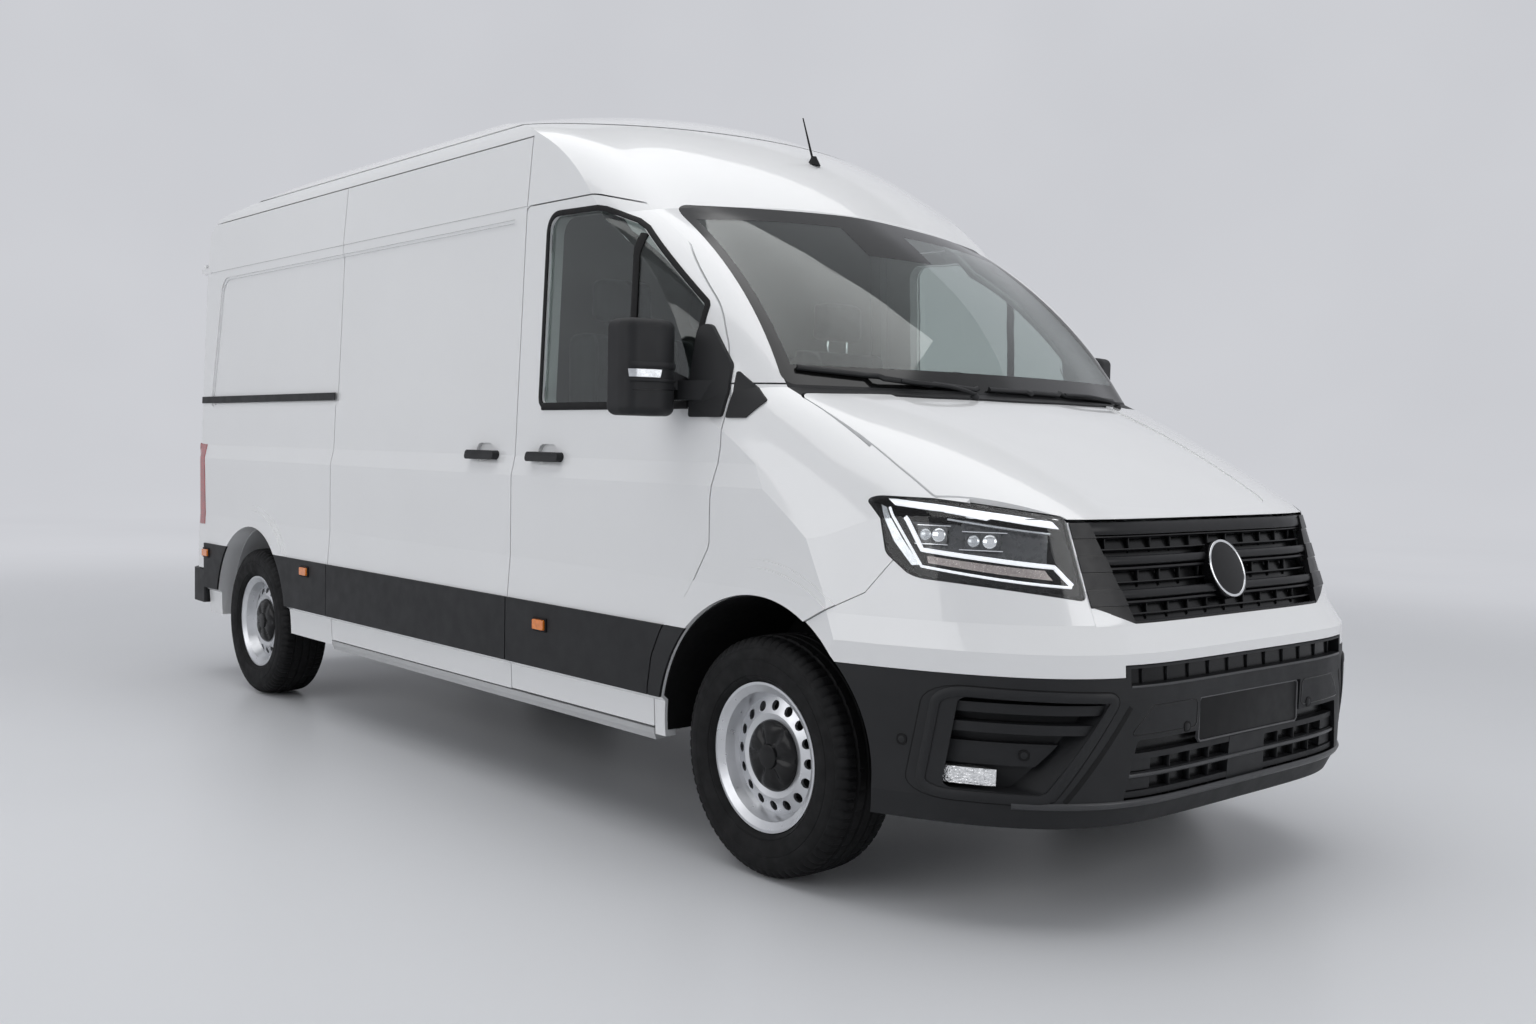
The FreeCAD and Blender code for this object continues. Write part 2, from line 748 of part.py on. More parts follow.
    dark_region = slab(AXLE_X + 100, FRONT_X + 50, size("lip_height") - 20, white_low - 2)
    dark_region = dark_region.fuse(box_between((FRONT_X - 300, -562, white_low - 5), (FRONT_X + 50, 562, white_low + 29)))
    lower = layer(0, BUMPER_DEPTH, dark_region).cut(front_arch)
    fog = both(front_prism(fog_outline, AXLE_X + 100, FRONT_X + 50, (20,)))
    lower = lower.cut(layer(-4, INTAKE_DEPTH, fog))
    intake = front_prism(intake_outline, FRONT_X - 300, FRONT_X + 50, (16,))
    lower = lower.cut(layer(-4, INTAKE_DEPTH, intake))
    upper_intake = box_between((FRONT_X - 300, -548, white_low - 22), (FRONT_X + 50, 548, white_low + 22))
    lower = lower.cut(layer(-4, INTAKE_DEPTH, upper_intake))
    slats = []
    for row in range(3):
        low = size("lip_height") + 78 + 50 * row
        slats.append(layer(10, FENDER_DEPTH, box_between((FRONT_X - 300, -560, low), (FRONT_X + 50, 560, low + 16))))
    for row in range(2):
        low = size("white_bottom") - 98 - 52 * row
        bar_region = both(box_between((AXLE_X + 300, 560, low), (FRONT_X, 930, low + 26)))
        slats.append(layer(10, FENDER_DEPTH, bar_region).common(fog))
    plate_seat = box_between((FRONT_X - PLATE_SEAT_DEPTH, -266, 482), (FRONT_X + 50, 266, 608))
    lower = lower.fuse(slats).cut(plate_seat)
    keep("bumper_lower", biggest(lower))
    lamp_box = both(box_between((AXLE_X + 300, 812, size("lip_height") + 108), (FRONT_X, 892, size("lip_height") + 152)))
    fog_lamps = layer(14, INTAKE_DEPTH, lamp_box)
    keep("fog_lamps", Part.makeCompound(fog_lamps.Solids))

    grille = layer(24, GRILLE_DEPTH, front_prism(grille_outline, FRONT_X - 400, FRONT_X + 50, GRILLE_RADII))
    bars = []
    pitch = (size("bonnet_front") - 6 - size("grille_bottom")) / size("grille_bar_count")
    for row in range(int(size("grille_bar_count"))):
        low = size("grille_bottom") + row * pitch
        broad = box_between((FRONT_X - 400, -FAR, low + 0.42 * pitch), (FRONT_X + 50, FAR, low + 0.96 * pitch))
        thin = box_between((FRONT_X - 400, -FAR, low + 0.1 * pitch), (FRONT_X + 50, FAR, low + 0.26 * pitch))
        bars += [(5, broad), (14, thin)]
    mask = front_prism(grille_outline, FRONT_X - 400, FRONT_X + 50, GRILLE_RADII)
    for depth, region in bars:
        grille = grille.fuse(layer(depth, UPPER_DEPTH, region.common(mask)))
    grille = grille.fuse(emblem_disc())
    keep("grille", biggest(grille))

    lamp_region = front_prism(lamp_outline, AXLE_X + 235, FRONT_X + 50, LAMP_RADII)
    lens = biggest(layer(0, 5, lamp_region))
    hollow = front_prism(inset_outline(lamp_outline, LAMP_WALL), AXLE_X + 100, FRONT_X + 60, LAMP_RADII)
    bowl = biggest(layer(5, LAMP_DEPTH + 12, lamp_region).cut(layer(0, LAMP_DEPTH, hollow)))
    keep("headlamp_lenses", Part.makeCompound([lens, mirrored(lens)]))
    keep("headlamps", Part.makeCompound([bowl, mirrored(bowl)]))


HINGE_X = REAR_X + 30
HINGE_Y = size("rear_door_half") + 10
HINGE_HEIGHTS = (size("floor_top") + 48, size("crease_top") + 128, size("rear_door_top") - 220)


def rear_hinges(leaf_side):
    """The left rear door's hinge leaves, each a barrel round the pin with a foot on the skin."""
    leaves = []
    for height in HINGE_HEIGHTS:
        low = height if leaf_side == "door" else height - 26 - SEAT
        barrel = Part.makeCylinder(9, 26, Vector(HINGE_X, HINGE_Y, low))
        if leaf_side == "door":
            edge = HINGE_Y - 14 - 0.0465 * max(0, height - size("crease_top") - 30)
            feet = [box_between((HINGE_X - 7, HINGE_Y - 110, low), (HINGE_X + 100, edge, low + 26)),
                    box_between((HINGE_X - 7, HINGE_Y - 110, low), (HINGE_X + 4, HINGE_Y, low + 26))]
        else:
            feet = [box_between((HINGE_X - 3, HINGE_Y, low), (HINGE_X + 160, HINGE_Y + 8, low + 26)),
                    box_between((HINGE_X + 9, HINGE_Y, low), (HINGE_X + 160, HINGE_Y + 24, low + 26))]
        leaves.append(barrel.fuse(feet).cut(form(0)))
    return leaves


def emblem_disc():
    """The bare round disc in the middle of the grille, square to the sloping nose."""
    rise = size("bonnet_front") - size("grille_bottom")
    run = FRONT_X - 58 - BONNET_FRONT_X
    height = 0.45 * rise
    normal = Vector(rise, 0, run).normalize()
    on_nose = Vector(FRONT_X - 58 - run * height / rise, 0, size("grille_bottom") + height)
    return Part.makeCylinder(66, 38, on_nose - normal * 30, normal)


def make_doors():
    region = side_prism(inset_outline(door_outline, GAP / 2), DOOR_NEAR, FAR, DOOR_RADII)
    opening = side_prism(window_outline, 400, FAR, WINDOW_RADII)
    door = biggest(layer(0, WALL - SEAT, region).cut(opening))
    door = biggest(door.cut(handle_scoops()[1]))
    pane_outline = inset_outline(window_outline, SEAT)
    pane = biggest(layer(10, 10 + size("glass"), side_prism(pane_outline, 500, FAR, WINDOW_RADII)))
    for side, sign in SIDES:
        keep("door_front_" + side, for_side(door, sign))
        keep("door_glass_" + side, for_side(pane, sign))
    rear_region = front_prism(rear_door_outline, REAR_X - 60, REAR_DOOR_INNER_X, REAR_RADII)
    fields = []
    for low, high in ((size("press_bottom") - 60, size("rear_door_top") - 110), (700, size("press_bottom") - 130)):
        outline = [(90, low), (90, high), (770, high), (770, low)]
        fields.append(front_prism(outline, REAR_X - 60, REAR_X + 300, (50,)))
    rear = biggest(layer(0, WALL - SEAT, rear_region))
    rebate = size("rear_door_rebate")
    meeting_edge = form(rebate).common(box_between((REAR_X, 0, 0), (REAR_X + 300, rebate, ROOF_Z)))
    rear = rear.cut([layer(-4, size("press_depth"), field) for field in fields] + [meeting_edge])
    rear = biggest(biggest(rear).fuse(rear_hinges("door")))
    for side, sign in SIDES:
        keep("rear_door_" + side, for_side(rear, sign))


def bind(target, **expressions):
    """Ties properties of an object to the sheet; a double underscore stands for a dot."""
    for name, expression in expressions.items():
        target.setExpression(name.replace("__", "."), expression)
    return target


def named(alias_text):
    """Writes an expression whose words are aliases of the sheet."""
    words = []
    word = ""
    for letter in alias_text + " ":
        if letter.isalnum() or letter == "_":
            word += letter
            continue
        if word:
            words.append("sizes." + word if word in SIZES else word)
            word = ""
        words.append(letter)
    return "".join(words).strip()


def block(length, width, height, low_x, low_y, low_z, name="block"):
    """A box whose sizes and low corner are expressions in words of the sheet."""
    target = doc.addObject("Part::Box", name)
    return bind(target, Length=named(length), Width=named(width), Height=named(height),
                Placement__Base__x=named(low_x), Placement__Base__y=named(low_y),
                Placement__Base__z=named(low_z))


def bar(radius, length, x, y, z, way="Z", name="bar"):
    """A cylinder along X, Y or Z from a point, all expressions in words of the sheet."""
    target = doc.addObject("Part::Cylinder", name)
    turns = {"X": Rotation(Vector(0, 1, 0), 90), "Y": Rotation(Vector(1, 0, 0), -90), "Z": Rotation()}
    target.Placement = Placement(Vector(), turns[way])
    return bind(target, Radius=named(radius), Height=named(length),
                Placement__Base__x=named(x), Placement__Base__y=named(y),
                Placement__Base__z=named(z))


def fused(name, parts, own=True):
    target = doc.addObject("Part::MultiFuse", name)
    target.Shapes = parts
    if own:
        target.Label = name
        NODES[name] = target
    return target


def cut_from(name, base, tool, own=True):
    target = doc.addObject("Part::Cut", name)
    target.Base = base
    target.Tool = tool
    if own:
        target.Label = name
        NODES[name] = target
    return target


def sketched(body, points, plane):
    """A closed sketch on one of a body's planes, each corner tied to the sheet."""
    sketch = body.newObject("Sketcher::SketchObject", "outline")
    sketch.AttachmentSupport = [(next(f for f in body.Origin.OriginFeatures if f.Role == plane), "")]
    sketch.MapMode = "FlatFace"
    count = len(points)
    for index in range(count):
        turn = 2 * math.pi * index / count
        following = 2 * math.pi * (index + 1) / count
        start = Vector(100 * math.cos(turn), 100 * math.sin(turn), 0)
        end = Vector(100 * math.cos(following), 100 * math.sin(following), 0)
        sketch.addGeometry(Part.LineSegment(start, end))
    for index in range(count):
        sketch.addConstraint(Sketcher.Constraint("Coincident", index, 2, (index + 1) % count, 1))
    for index, (across, up) in enumerate(points):
        for kind, text in (("DistanceX", across), ("DistanceY", up)):
            number = sketch.addConstraint(Sketcher.Constraint(kind, -1, 1, index, 1, 50.0))
            sketch.setExpression("Constraints[%d]" % number, named(text))
    return sketch


def turned(name, points, own=True):
    """A ring or disc: a (distance from the axle, along the axle) outline turned about Y."""
    body = doc.addObject("PartDesign::Body", name)
    sketch = sketched(body, points, "XY_Plane")
    turn = body.newObject("PartDesign::Revolution", "turn")
    turn.Profile = sketch
    turn.ReferenceAxis = (sketch, ["V_Axis"])
    turn.Angle = 360
    body.Tip = turn
    if own:
        body.Label = name
        NODES[name] = body
    return body


AXLES = {
    "front": ("overall_length / 2 - front_overhang", "track_front / 2"),
    "rear": ("overall_length / 2 - front_overhang - wheel_base", "track_rear / 2"),
}
WHEEL_HEIGHT = "tyre_diameter / 2"
TYRE_OUTLINE = [
    ("rim_seat_diameter / 2", "-(rim_width / 2)"),
    ("rim_flange_diameter / 2 + seat_clearance", "-(rim_width / 2)"),
    ("rim_flange_diameter / 2 + 2", "-(tyre_width / 2 - 10)"),
    ("rim_flange_diameter / 2 + 46", "-(tyre_width / 2)"),
    ("tyre_diameter / 2 - 52", "-(tyre_width / 2 - 3)"),
    ("tyre_diameter / 2 - 18", "-(tyre_width / 2 - 13)"),
    ("tyre_diameter / 2 - 3", "-(tyre_width / 2 - 34)"),
    ("tyre_diameter / 2", "0"),
    ("tyre_diameter / 2 - 3", "tyre_width / 2 - 34"),
    ("tyre_diameter / 2 - 18", "tyre_width / 2 - 13"),
    ("tyre_diameter / 2 - 52", "tyre_width / 2 - 3"),
    ("rim_flange_diameter / 2 + 46", "tyre_width / 2"),
    ("rim_flange_diameter / 2 + 2", "tyre_width / 2 - 10"),
    ("rim_flange_diameter / 2 + seat_clearance", "rim_width / 2"),
    ("rim_seat_diameter / 2", "rim_width / 2"),
]
RIM_OUTLINE = [
    ("rim_flange_diameter / 2", "rim_width / 2"),
    ("rim_flange_diameter / 2", "rim_width / 2 + 8"),
    ("rim_flange_diameter / 2 - 8", "rim_width / 2 + 8"),
    ("rim_seat_diameter / 2 - 12", "rim_width / 2 - 6"),
    ("rim_seat_diameter / 2 - 24", "rim_width / 2 - 34"),
    ("rim_hole_circle / 2 + 24", "rim_width / 2 - rim_dish - 8"),
    ("rim_hole_circle / 2 - 24", "rim_width / 2 - rim_dish + 10"),
    ("bolt_circle / 2 + 34", "rim_width / 2 - rim_dish + 2"),
    ("bolt_circle / 2 + 18", "rim_width / 2 - rim_dish - 24"),
    ("hub_bore / 2", "rim_width / 2 - rim_dish - 24"),
    ("hub_bore / 2", "rim_width / 2 - rim_dish - 34"),
    ("bolt_circle / 2 + 22", "rim_width / 2 - rim_dish - 34"),
    ("bolt_circle / 2 + 40", "rim_width / 2 - rim_dish - 8"),
    ("rim_hole_circle / 2 - 24", "rim_width / 2 - rim_dish"),
    ("rim_hole_circle / 2 + 22", "rim_width / 2 - rim_dish - 18"),
    ("rim_seat_diameter / 2 - 32", "rim_width / 2 - 48"),
    ("rim_seat_diameter / 2 - 32", "-(rim_width / 2 - 44)"),
    ("rim_seat_diameter / 2 - 8", "-(rim_width / 2 - 22)"),
    ("rim_seat_diameter / 2 - 8", "-(rim_width / 2 + 2)"),
    ("rim_flange_diameter / 2 - 8", "-(rim_width / 2 + 8)"),
    ("rim_flange_diameter / 2", "-(rim_width / 2 + 8)"),
    ("rim_flange_diameter / 2", "-(rim_width / 2)"),
    ("rim_seat_diameter / 2", "-(rim_width / 2)"),
    ("rim_seat_diameter / 2", "-(rim_width / 2 - 22)"),
    ("rim_seat_diameter / 2 - 24", "-(rim_width / 2 - 44)"),
    ("rim_seat_diameter / 2 - 24", "rim_width / 2 - 52"),
    ("rim_seat_diameter / 2", "rim_width / 2 - 24"),
    ("rim_seat_diameter / 2", "rim_width / 2"),
]


def ring_cut(body, name, radius_text, circle_text, count_text, count):
    """Cuts a ring of round holes along the axle through a turned body."""
    sketch = body.newObject("Sketcher::SketchObject", name + "_circle")
    sketch.AttachmentSupport = [(next(f for f in body.Origin.OriginFeatures if f.Role == "XZ_Plane"), "")]
    sketch.MapMode = "FlatFace"
    sketch.addGeometry(Part.Circle(Vector(0, 100, 0), Vector(0, 0, 1), 10))
    sketch.addConstraint(Sketcher.Constraint("PointOnObject", 0, 3, -2))
    across = sketch.addConstraint(Sketcher.Constraint("DistanceY", -1, 1, 0, 3, 100.0))
    sketch.setExpression("Constraints[%d]" % across, named(circle_text))
    wide = sketch.addConstraint(Sketcher.Constraint("Radius", 0, 10.0))
    sketch.setExpression("Constraints[%d]" % wide, named(radius_text))
    pocket = body.newObject("PartDesign::Pocket", name)
    pocket.Profile = sketch
    pocket.Type = "Length"
    pocket.Length = 400
    pocket.Midplane = True
    pattern = body.newObject("PartDesign::PolarPattern", name + "_ring")
    pattern.Originals = [pocket]
    pattern.Axis = (next(f for f in body.Origin.OriginFeatures if f.Role == "Y_Axis"), [""])
    pattern.Angle = 360
    pattern.Occurrences = count
    pattern.setExpression("Occurrences", named(count_text))
    body.Tip = pattern
    return pattern


def make_wheels():
    for axle, (along, half_track) in AXLES.items():
        for side, sign in SIDES:
            place = "%s%s" % ("" if sign > 0 else "-", half_track)
            tyre = turned("tyre_%s_%s" % (axle, side), TYRE_OUTLINE)
            facing = Rotation() if sign > 0 else Rotation(Vector(0, 0, 1), 180)
            tyre.Placement = Placement(Vector(), facing)
            rim = turned("rim_%s_%s" % (axle, side), RIM_OUTLINE)
            doc.recompute()
            ring_cut(rim, "vents", "rim_hole_diameter / 2", "rim_hole_circle / 2", "rim_hole_count",
                     int(size("rim_hole_count")))
            ring_cut(rim, "bolts", "bolt_hole / 2", "bolt_circle / 2", "bolt_count",
                     int(size("bolt_count")))
            rim.Placement = Placement(Vector(), facing)
            for body in (tyre, rim):
                bind(body, Placement__Base__x=named(along), Placement__Base__y=named(place),
                     Placement__Base__z=named(WHEEL_HEIGHT))


RIM_FACE = "rim_width / 2 - rim_dish - 34"


def make_running_gear():
    front = AXLES["front"][0]
    face = "track_front / 2 + %s" % RIM_FACE
    for side, sign in SIDES:
        hub_low = face + " - hub_length" if sign > 0 else "-(%s) + seat_clearance" % face
        hub = bar("hub_diameter / 2", "hub_length - seat_clearance", front, hub_low, WHEEL_HEIGHT, "Y", "hub")
        disc_low = face + " - hub_length - 46" if sign > 0 else "-(%s) + hub_length - 2" % face
        disc = bar("brake_diameter / 2", "48", front, disc_low, WHEEL_HEIGHT, "Y", "brake_disc")
        lug_height = WHEEL_HEIGHT + " - brake_diameter / 2 + 30 - arm_height - arm_thickness - seat_clearance"
        lug = bar("24", lug_height, front, "kingpin_y" if sign > 0 else "-kingpin_y",
                  "arm_height + arm_thickness + seat_clearance", "Z", "ball_joint")
        clamp = block("70", "150", "80", front + " - 35", "kingpin_y - 136" if sign > 0 else "-kingpin_y - 14",
                      WHEEL_HEIGHT + " + 40", "clamp")
        strut = bar("strut_radius", "arch_radius + arch_lift - 60", front,
                    "kingpin_y - 106" if sign > 0 else "-(kingpin_y - 106)", WHEEL_HEIGHT + " + 42", "Z", "strut")
        fused("knuckle_" + side, [hub, disc, lug, clamp, strut])
    cradle = block("620", "840", "70", front + " - 250", "-420", "arm_height + 20", "cradle")
    arms = [block("90", "kingpin_y - 370", "arm_thickness", front + " - 45",
                  "400" if sign > 0 else "-kingpin_y - 30", "arm_height", "arm") for side, sign in SIDES]
    posts = [block("50", "50", "floor_top - floor_thickness - 110 - arm_height - 90", front + " + %d" % along,
                   "360" if sign > 0 else "-410", "arm_height + 90", "post")
             for side, sign in SIDES for along in (-240, 300)]
    mounts = [block("90", "120", "110", front + " + %d" % along, "-60", "arm_height + 90", "engine_mount")
              for along in (40, 250)]
    fused("subframe", [cradle] + arms + posts + mounts)
    rear = AXLES["rear"][0]
    beam = block("90", "1360", "90", rear + " - 45", "-680", "tyre_diameter / 2 - 45", "beam")
    springs = [block("1300", "60", "36", rear + " - 620", "592" if sign > 0 else "-652",
                     "tyre_diameter / 2 - 81", "leaf") for side, sign in SIDES]
    shackles = [block("40", "60", "floor_top - floor_thickness - 110 - tyre_diameter / 2 + 50", rear + " + %d" % along,
                      "592" if sign > 0 else "-652", "tyre_diameter / 2 - 50", "shackle")
                for side, sign in SIDES for along in (-600, 620)]
    face = "track_rear / 2 + %s" % RIM_FACE
    hubs = []
    for side, sign in SIDES:
        low = "660" if sign > 0 else "-(%s) + seat_clearance" % face
        hubs.append(bar("hub_diameter / 2", face + " - 660 - seat_clearance", rear, low, WHEEL_HEIGHT,
                        "Y", "rear_hub"))
    fused("rear_axle", [beam] + springs + shackles + hubs)
    engine = block("600", "700", "560", front + " + 20", "-350", "arm_height + 200", "engine")
    engine.Label = "engine"
    NODES["engine"] = engine

    tank = block("760", "440", "floor_top - floor_thickness - 90 - 260", "b_seam - 882", "90", "260", "fuel_tank")
    tank.Label = "fuel_tank"
    NODES["fuel_tank"] = tank
    silencer = bar("95", "620", "b_seam - 1522", "-260", "340", "X", "silencer")
    pipes = [bar("28", "278", "b_seam - 1800", "-260", "340", "X", "tail_pipe"),
             bar("28", "328", "b_seam - 1772", "-560", "340", "Y", "outlet"),
             bar("28", "2080", "b_seam - 902", "-260", "340", "X", "front_pipe")]
    hangers = [block("24", "40", "floor_top - floor_thickness - 340", along, "-280", "340", "hanger")
               for along in ("b_seam - 1333", "b_seam - 169", "b_seam + 778")]
    fused("exhaust", [silencer] + pipes + hangers)


def make_structure():
    low_floor = size("floor_top") - size("floor_thickness")
    cab_top = size("cab_floor_top")
    plate = size("floor_thickness")
    riser_x = B_SEAM - 60
    inside = form(WALL)
    load_floor = inside.common(slab(REAR_X + BUMPER_STEP + SEAT, riser_x + plate, low_floor, size("floor_top")))
    riser = inside.common(slab(riser_x, riser_x + plate, low_floor, cab_top))
    cab_floor = inside.common(slab(riser_x, DOOR_LOW_FRONT + 20, cab_top - plate, cab_top))
    footwell = box_between((DOOR_LOW_FRONT, -540, cab_top - plate), (FIREWALL_X + 30, 540, cab_top))
    firewall = form(FENDER_DEPTH).common(slab(FIREWALL_X, FIREWALL_X + 30, cab_top - plate, COWL_Z - 62))
    house = wheel_cylinder(AXLE_X, size("arch_radius") + 12, -FAR, FAR)
    wheel_room = house.cut(box_between((0, -545, 0), (FRONT_X, 545, 2000)))
    domes = []
    rooms = []
    for sign in (1, -1):
        near = size("wheel_box_half") if sign > 0 else -FAR
        far = FAR if sign > 0 else -size("wheel_box_half")
        domes.append(wheel_cylinder(REAR_AXLE_X, size("rear_arch_radius") + 4, near, far))
        near = size("wheel_box_half") + 6 if sign > 0 else -FAR
        far = FAR if sign > 0 else -size("wheel_box_half") - 6
        rooms.append(wheel_cylinder(REAR_AXLE_X, size("rear_arch_radius") - 3, near, far))
    dome = domes[0].fuse(domes[1]).common(inside).common(slab(REAR_X, B_SEAM, low_floor, 2000))
    floor = load_floor.fuse([riser, cab_floor, footwell, firewall.cut(wheel_room), dome])
    floor = floor.cut(rooms[0]).cut(rooms[1])
    posts = layer(WALL, size("frame_depth"), slab(B_SEAM - 86, B_SEAM + 22, SILL + 40, 2520))
    rear_post = layer(WALL, size("frame_depth"), slab(REAR_SEAM - 50, REAR_SEAM + 50, SILL + 40, 2520))
    rear_post = rear_post.common(RIGHT_HALF)
    keep("floor", biggest(floor.cut(posts).cut(rear_post)))

    low_sill = layer(0, size("frame_depth"), slab(REAR_SEAM + 2, DOOR_LOW_FRONT - 4, SILL - 20, SILL + 17))
    low_sill = low_sill.cut(box_between((REAR_SEAM - 100, 0, 0), (B_SEAM, FAR, 1000)))
    low_sill = low_sill.cut(under_body(WALL))
    high_sill = layer(WALL, size("frame_depth"), slab(REAR_SEAM + 2, DOOR_LOW_FRONT - 4, SILL, low_floor))
    high_sill = high_sill.cut(under_body(size("frame_depth")))
    frames = posts.fuse([rear_post, low_sill, high_sill]).cut(NODES["floor"].Shape)
    keep("side_frames", bigger_than(frames, 20000))

    bulkhead = inside.common(slab(B_SEAM - 60, B_SEAM - 60 + size("partition_thickness"), cab_top, 2600))
    keep("partition", biggest(bulkhead.cut(frames)))

    rails = []
    for sign in (1, -1):
        rear_low = (590, -655)[sign < 0]
        rails.append(box_between((REAR_X + BUMPER_STEP + SEAT, rear_low, low_floor - 110), (B_SEAM, rear_low + 65, low_floor)))
        front_low = (355, -415)[sign < 0]
        rails.append(box_between((B_SEAM - 70, front_low, low_floor - 110), (FRONT_X - 200, front_low + 60, low_floor)))
    for along in (REAR_X + 180, REAR_X + 1900, REAR_X + 3000, B_SEAM - 70):
        rails.append(box_between((along, -655, low_floor - 90), (along + 70, 655, low_floor)))
    rails.append(box_between((FRONT_X - 203, -560, low_floor - 110), (FRONT_X - 143, 560, low_floor)))
    brackets = form(BUMPER_DEPTH).common(both(box_between(
        (FRONT_X - 150, 300, low_floor - 90), (FRONT_X, 400, low_floor - 20))))
    chassis = rails[0].fuse(rails[1:] + [brackets])
    keep("chassis", biggest(chassis))

    panel = layer(LAMP_DEPTH + 12, size("frame_depth"), slab(LAMP_REAR_X - 40, FRONT_X, 720, 1040))
    lamp_posts = both(box_between((FRONT_X - 203, 500, low_floor), (FRONT_X - 158, 540, 850)))
    wing_rails = layer(FENDER_DEPTH, size("frame_depth"), slab(FIREWALL_X + 30, LAMP_REAR_X - SEAT, 960, 1050))
    wing_rails = wing_rails.cut(box_between((0, -700, 0), (FRONT_X, 700, 2000)))
    upper_ties = layer(UPPER_DEPTH, size("frame_depth"), both(
        box_between((AXLE_X + 500, 570, 740), (FRONT_X, 600, 780))))
    grille_ties = layer(GRILLE_DEPTH, size("frame_depth"), both(box_between((AXLE_X + 500, 120, 900), (FRONT_X, 160, 940))))
    stops = layer(size("bonnet_thickness") + SEAT, size("frame_depth"), both(box_between(
        (BONNET_FRONT_X - 200, 480, size("bonnet_front") - 4), (FRONT_X, 510, 1200))))
    stop_feet = layer(FENDER_DEPTH, size("frame_depth"), both(box_between(
        (BONNET_FRONT_X - 200, 480, 1000), (FRONT_X, 510, size("bonnet_front") - 3))))
    carrier = panel.fuse([lamp_posts, wing_rails, upper_ties, grille_ties, stops, stop_feet])
    keep("front_frame", biggest(carrier.cut(house)))

    liner = wheel_cylinder(AXLE_X, size("arch_radius") - SEAT, 556, HALF_WIDTH)
    liner = liner.cut(wheel_cylinder(AXLE_X, size("arch_radius") - 5, 562, HALF_WIDTH + 10))
    liner = liner.common(form(10)).common(slab(REAR_X, FRONT_X, ARCH_Z - 20, 2000))
    keep("wheel_liners", Part.makeCompound([biggest(liner), mirrored(biggest(liner))]))


def make_trim():
    thick = size("cladding_thickness")
    low = size("cladding_bottom")
    high = size("cladding_top")
    arches = wheel_cylinder(AXLE_X, size("arch_radius"), -FAR, FAR).fuse(
        wheel_cylinder(REAR_AXLE_X, size("rear_arch_radius"), -FAR, FAR))
    band = form(-thick).common(slab(REAR_X + 290, AXLE_X + 130, low + 8, high)).cut(form(0)).cut(arches)
    seam = GAP / 2
    on_door = band.common(side_prism(inset_outline(door_outline, seam + 1), -FAR - 50, FAR + 50, DOOR_RADII))
    rest = band.cut(door_cut)
    rest = rest.cut(box_between((REAR_SEAM - seam, -FAR, 0), (REAR_SEAM + seam, 0, 1000)))
    rest = rest.cut(box_between((AXLE_X, -FAR, 0), (FRONT_X, FAR, 2000)))
    pieces = [solid for solid in rest.Solids if solid.Volume > 5000]

    rail = form(-4).common(box_between((REAR_X + 150, -FAR, size("rail_height")),
                                       (REAR_SEAM - 8, 0, size("rail_height") + 34))).cut(form(0))
    handle = handle_shape(B_SEAM - 215)
    pieces += [solid for solid in rail.Solids if solid.Volume > 2000]
    pieces.append(biggest(mirrored(handle)))
    trims = form(-4).common(both(side_prism(pillar_trim_outline, 500, FAR, (6,)))).cut(form(0))
    pieces += [solid for solid in trims.cut(form(0)).Solids if solid.Volume > 2000]
    keep("body_trim", Part.makeCompound(pieces))

    front_handle = handle_shape(B_SEAM + 215)
    for side, sign in SIDES:
        half = LEFT_HALF if sign > 0 else RIGHT_HALF
        strip = biggest(on_door.common(half))
        keep("door_trim_" + side, Part.makeCompound([strip, biggest(for_side(front_handle, sign))]))

    lamp_region = both(front_prism(rear_lamp_outline, REAR_X - 60, REAR_LAMP_FRONT_X, REAR_LAMP_RADII))
    keep("rear_lamps", bigger_than(layer(-4, BUMPER_DEPTH, lamp_region), 50000))

    step = top_prism([
        (REAR_X + 288, HALF_WIDTH - 4),
        (REAR_X + 120, HALF_WIDTH - 12),
        (REAR_X + 34, HALF_WIDTH - 70),
        (REAR_X + 4, HALF_WIDTH - 300),
        (REAR_X, 0),
        (REAR_X + 4, -(HALF_WIDTH - 300)),
        (REAR_X + 34, -(HALF_WIDTH - 70)),
        (REAR_X + 120, -(HALF_WIDTH - 12)),
        (REAR_X + 288, -(HALF_WIDTH - 4)),
        (REAR_X + 288, -(HALF_WIDTH - 60)),
        (REAR_X + BUMPER_STEP, -(HALF_WIDTH - 110)),
        (REAR_X + BUMPER_STEP, HALF_WIDTH - 110),
        (REAR_X + 288, HALF_WIDTH - 60),
    ], 392, size("floor_top") - 6, (10, 50, 60, 400, 0, 400, 60, 50, 10, 10, 30, 30, 10))
    keep("rear_bumper", step)

    brake = front_prism([(-150, 2385), (150, 2385), (150, 2410), (-150, 2410)], REAR_X + 60, REAR_X + 220, (8,))
    keep("brake_lamp", biggest(form(-4).common(brake).cut(form(0))))

    base = Part.makeCone(26, 9, 34, Vector(0, 0, 0), Vector(0, 0, 1))
    rod = Part.makeCone(4.5, 2.5, 175, Vector(-6, 0, 22), Vector(-0.36, 0, 1))
    aerial = base.fuse(rod)
    aerial.translate(Vector(ANTENNA_X, 0, antenna_foot()))
    keep("antenna", biggest(aerial.cut(form(0))))
    make_wipers()
    make_mirrors()


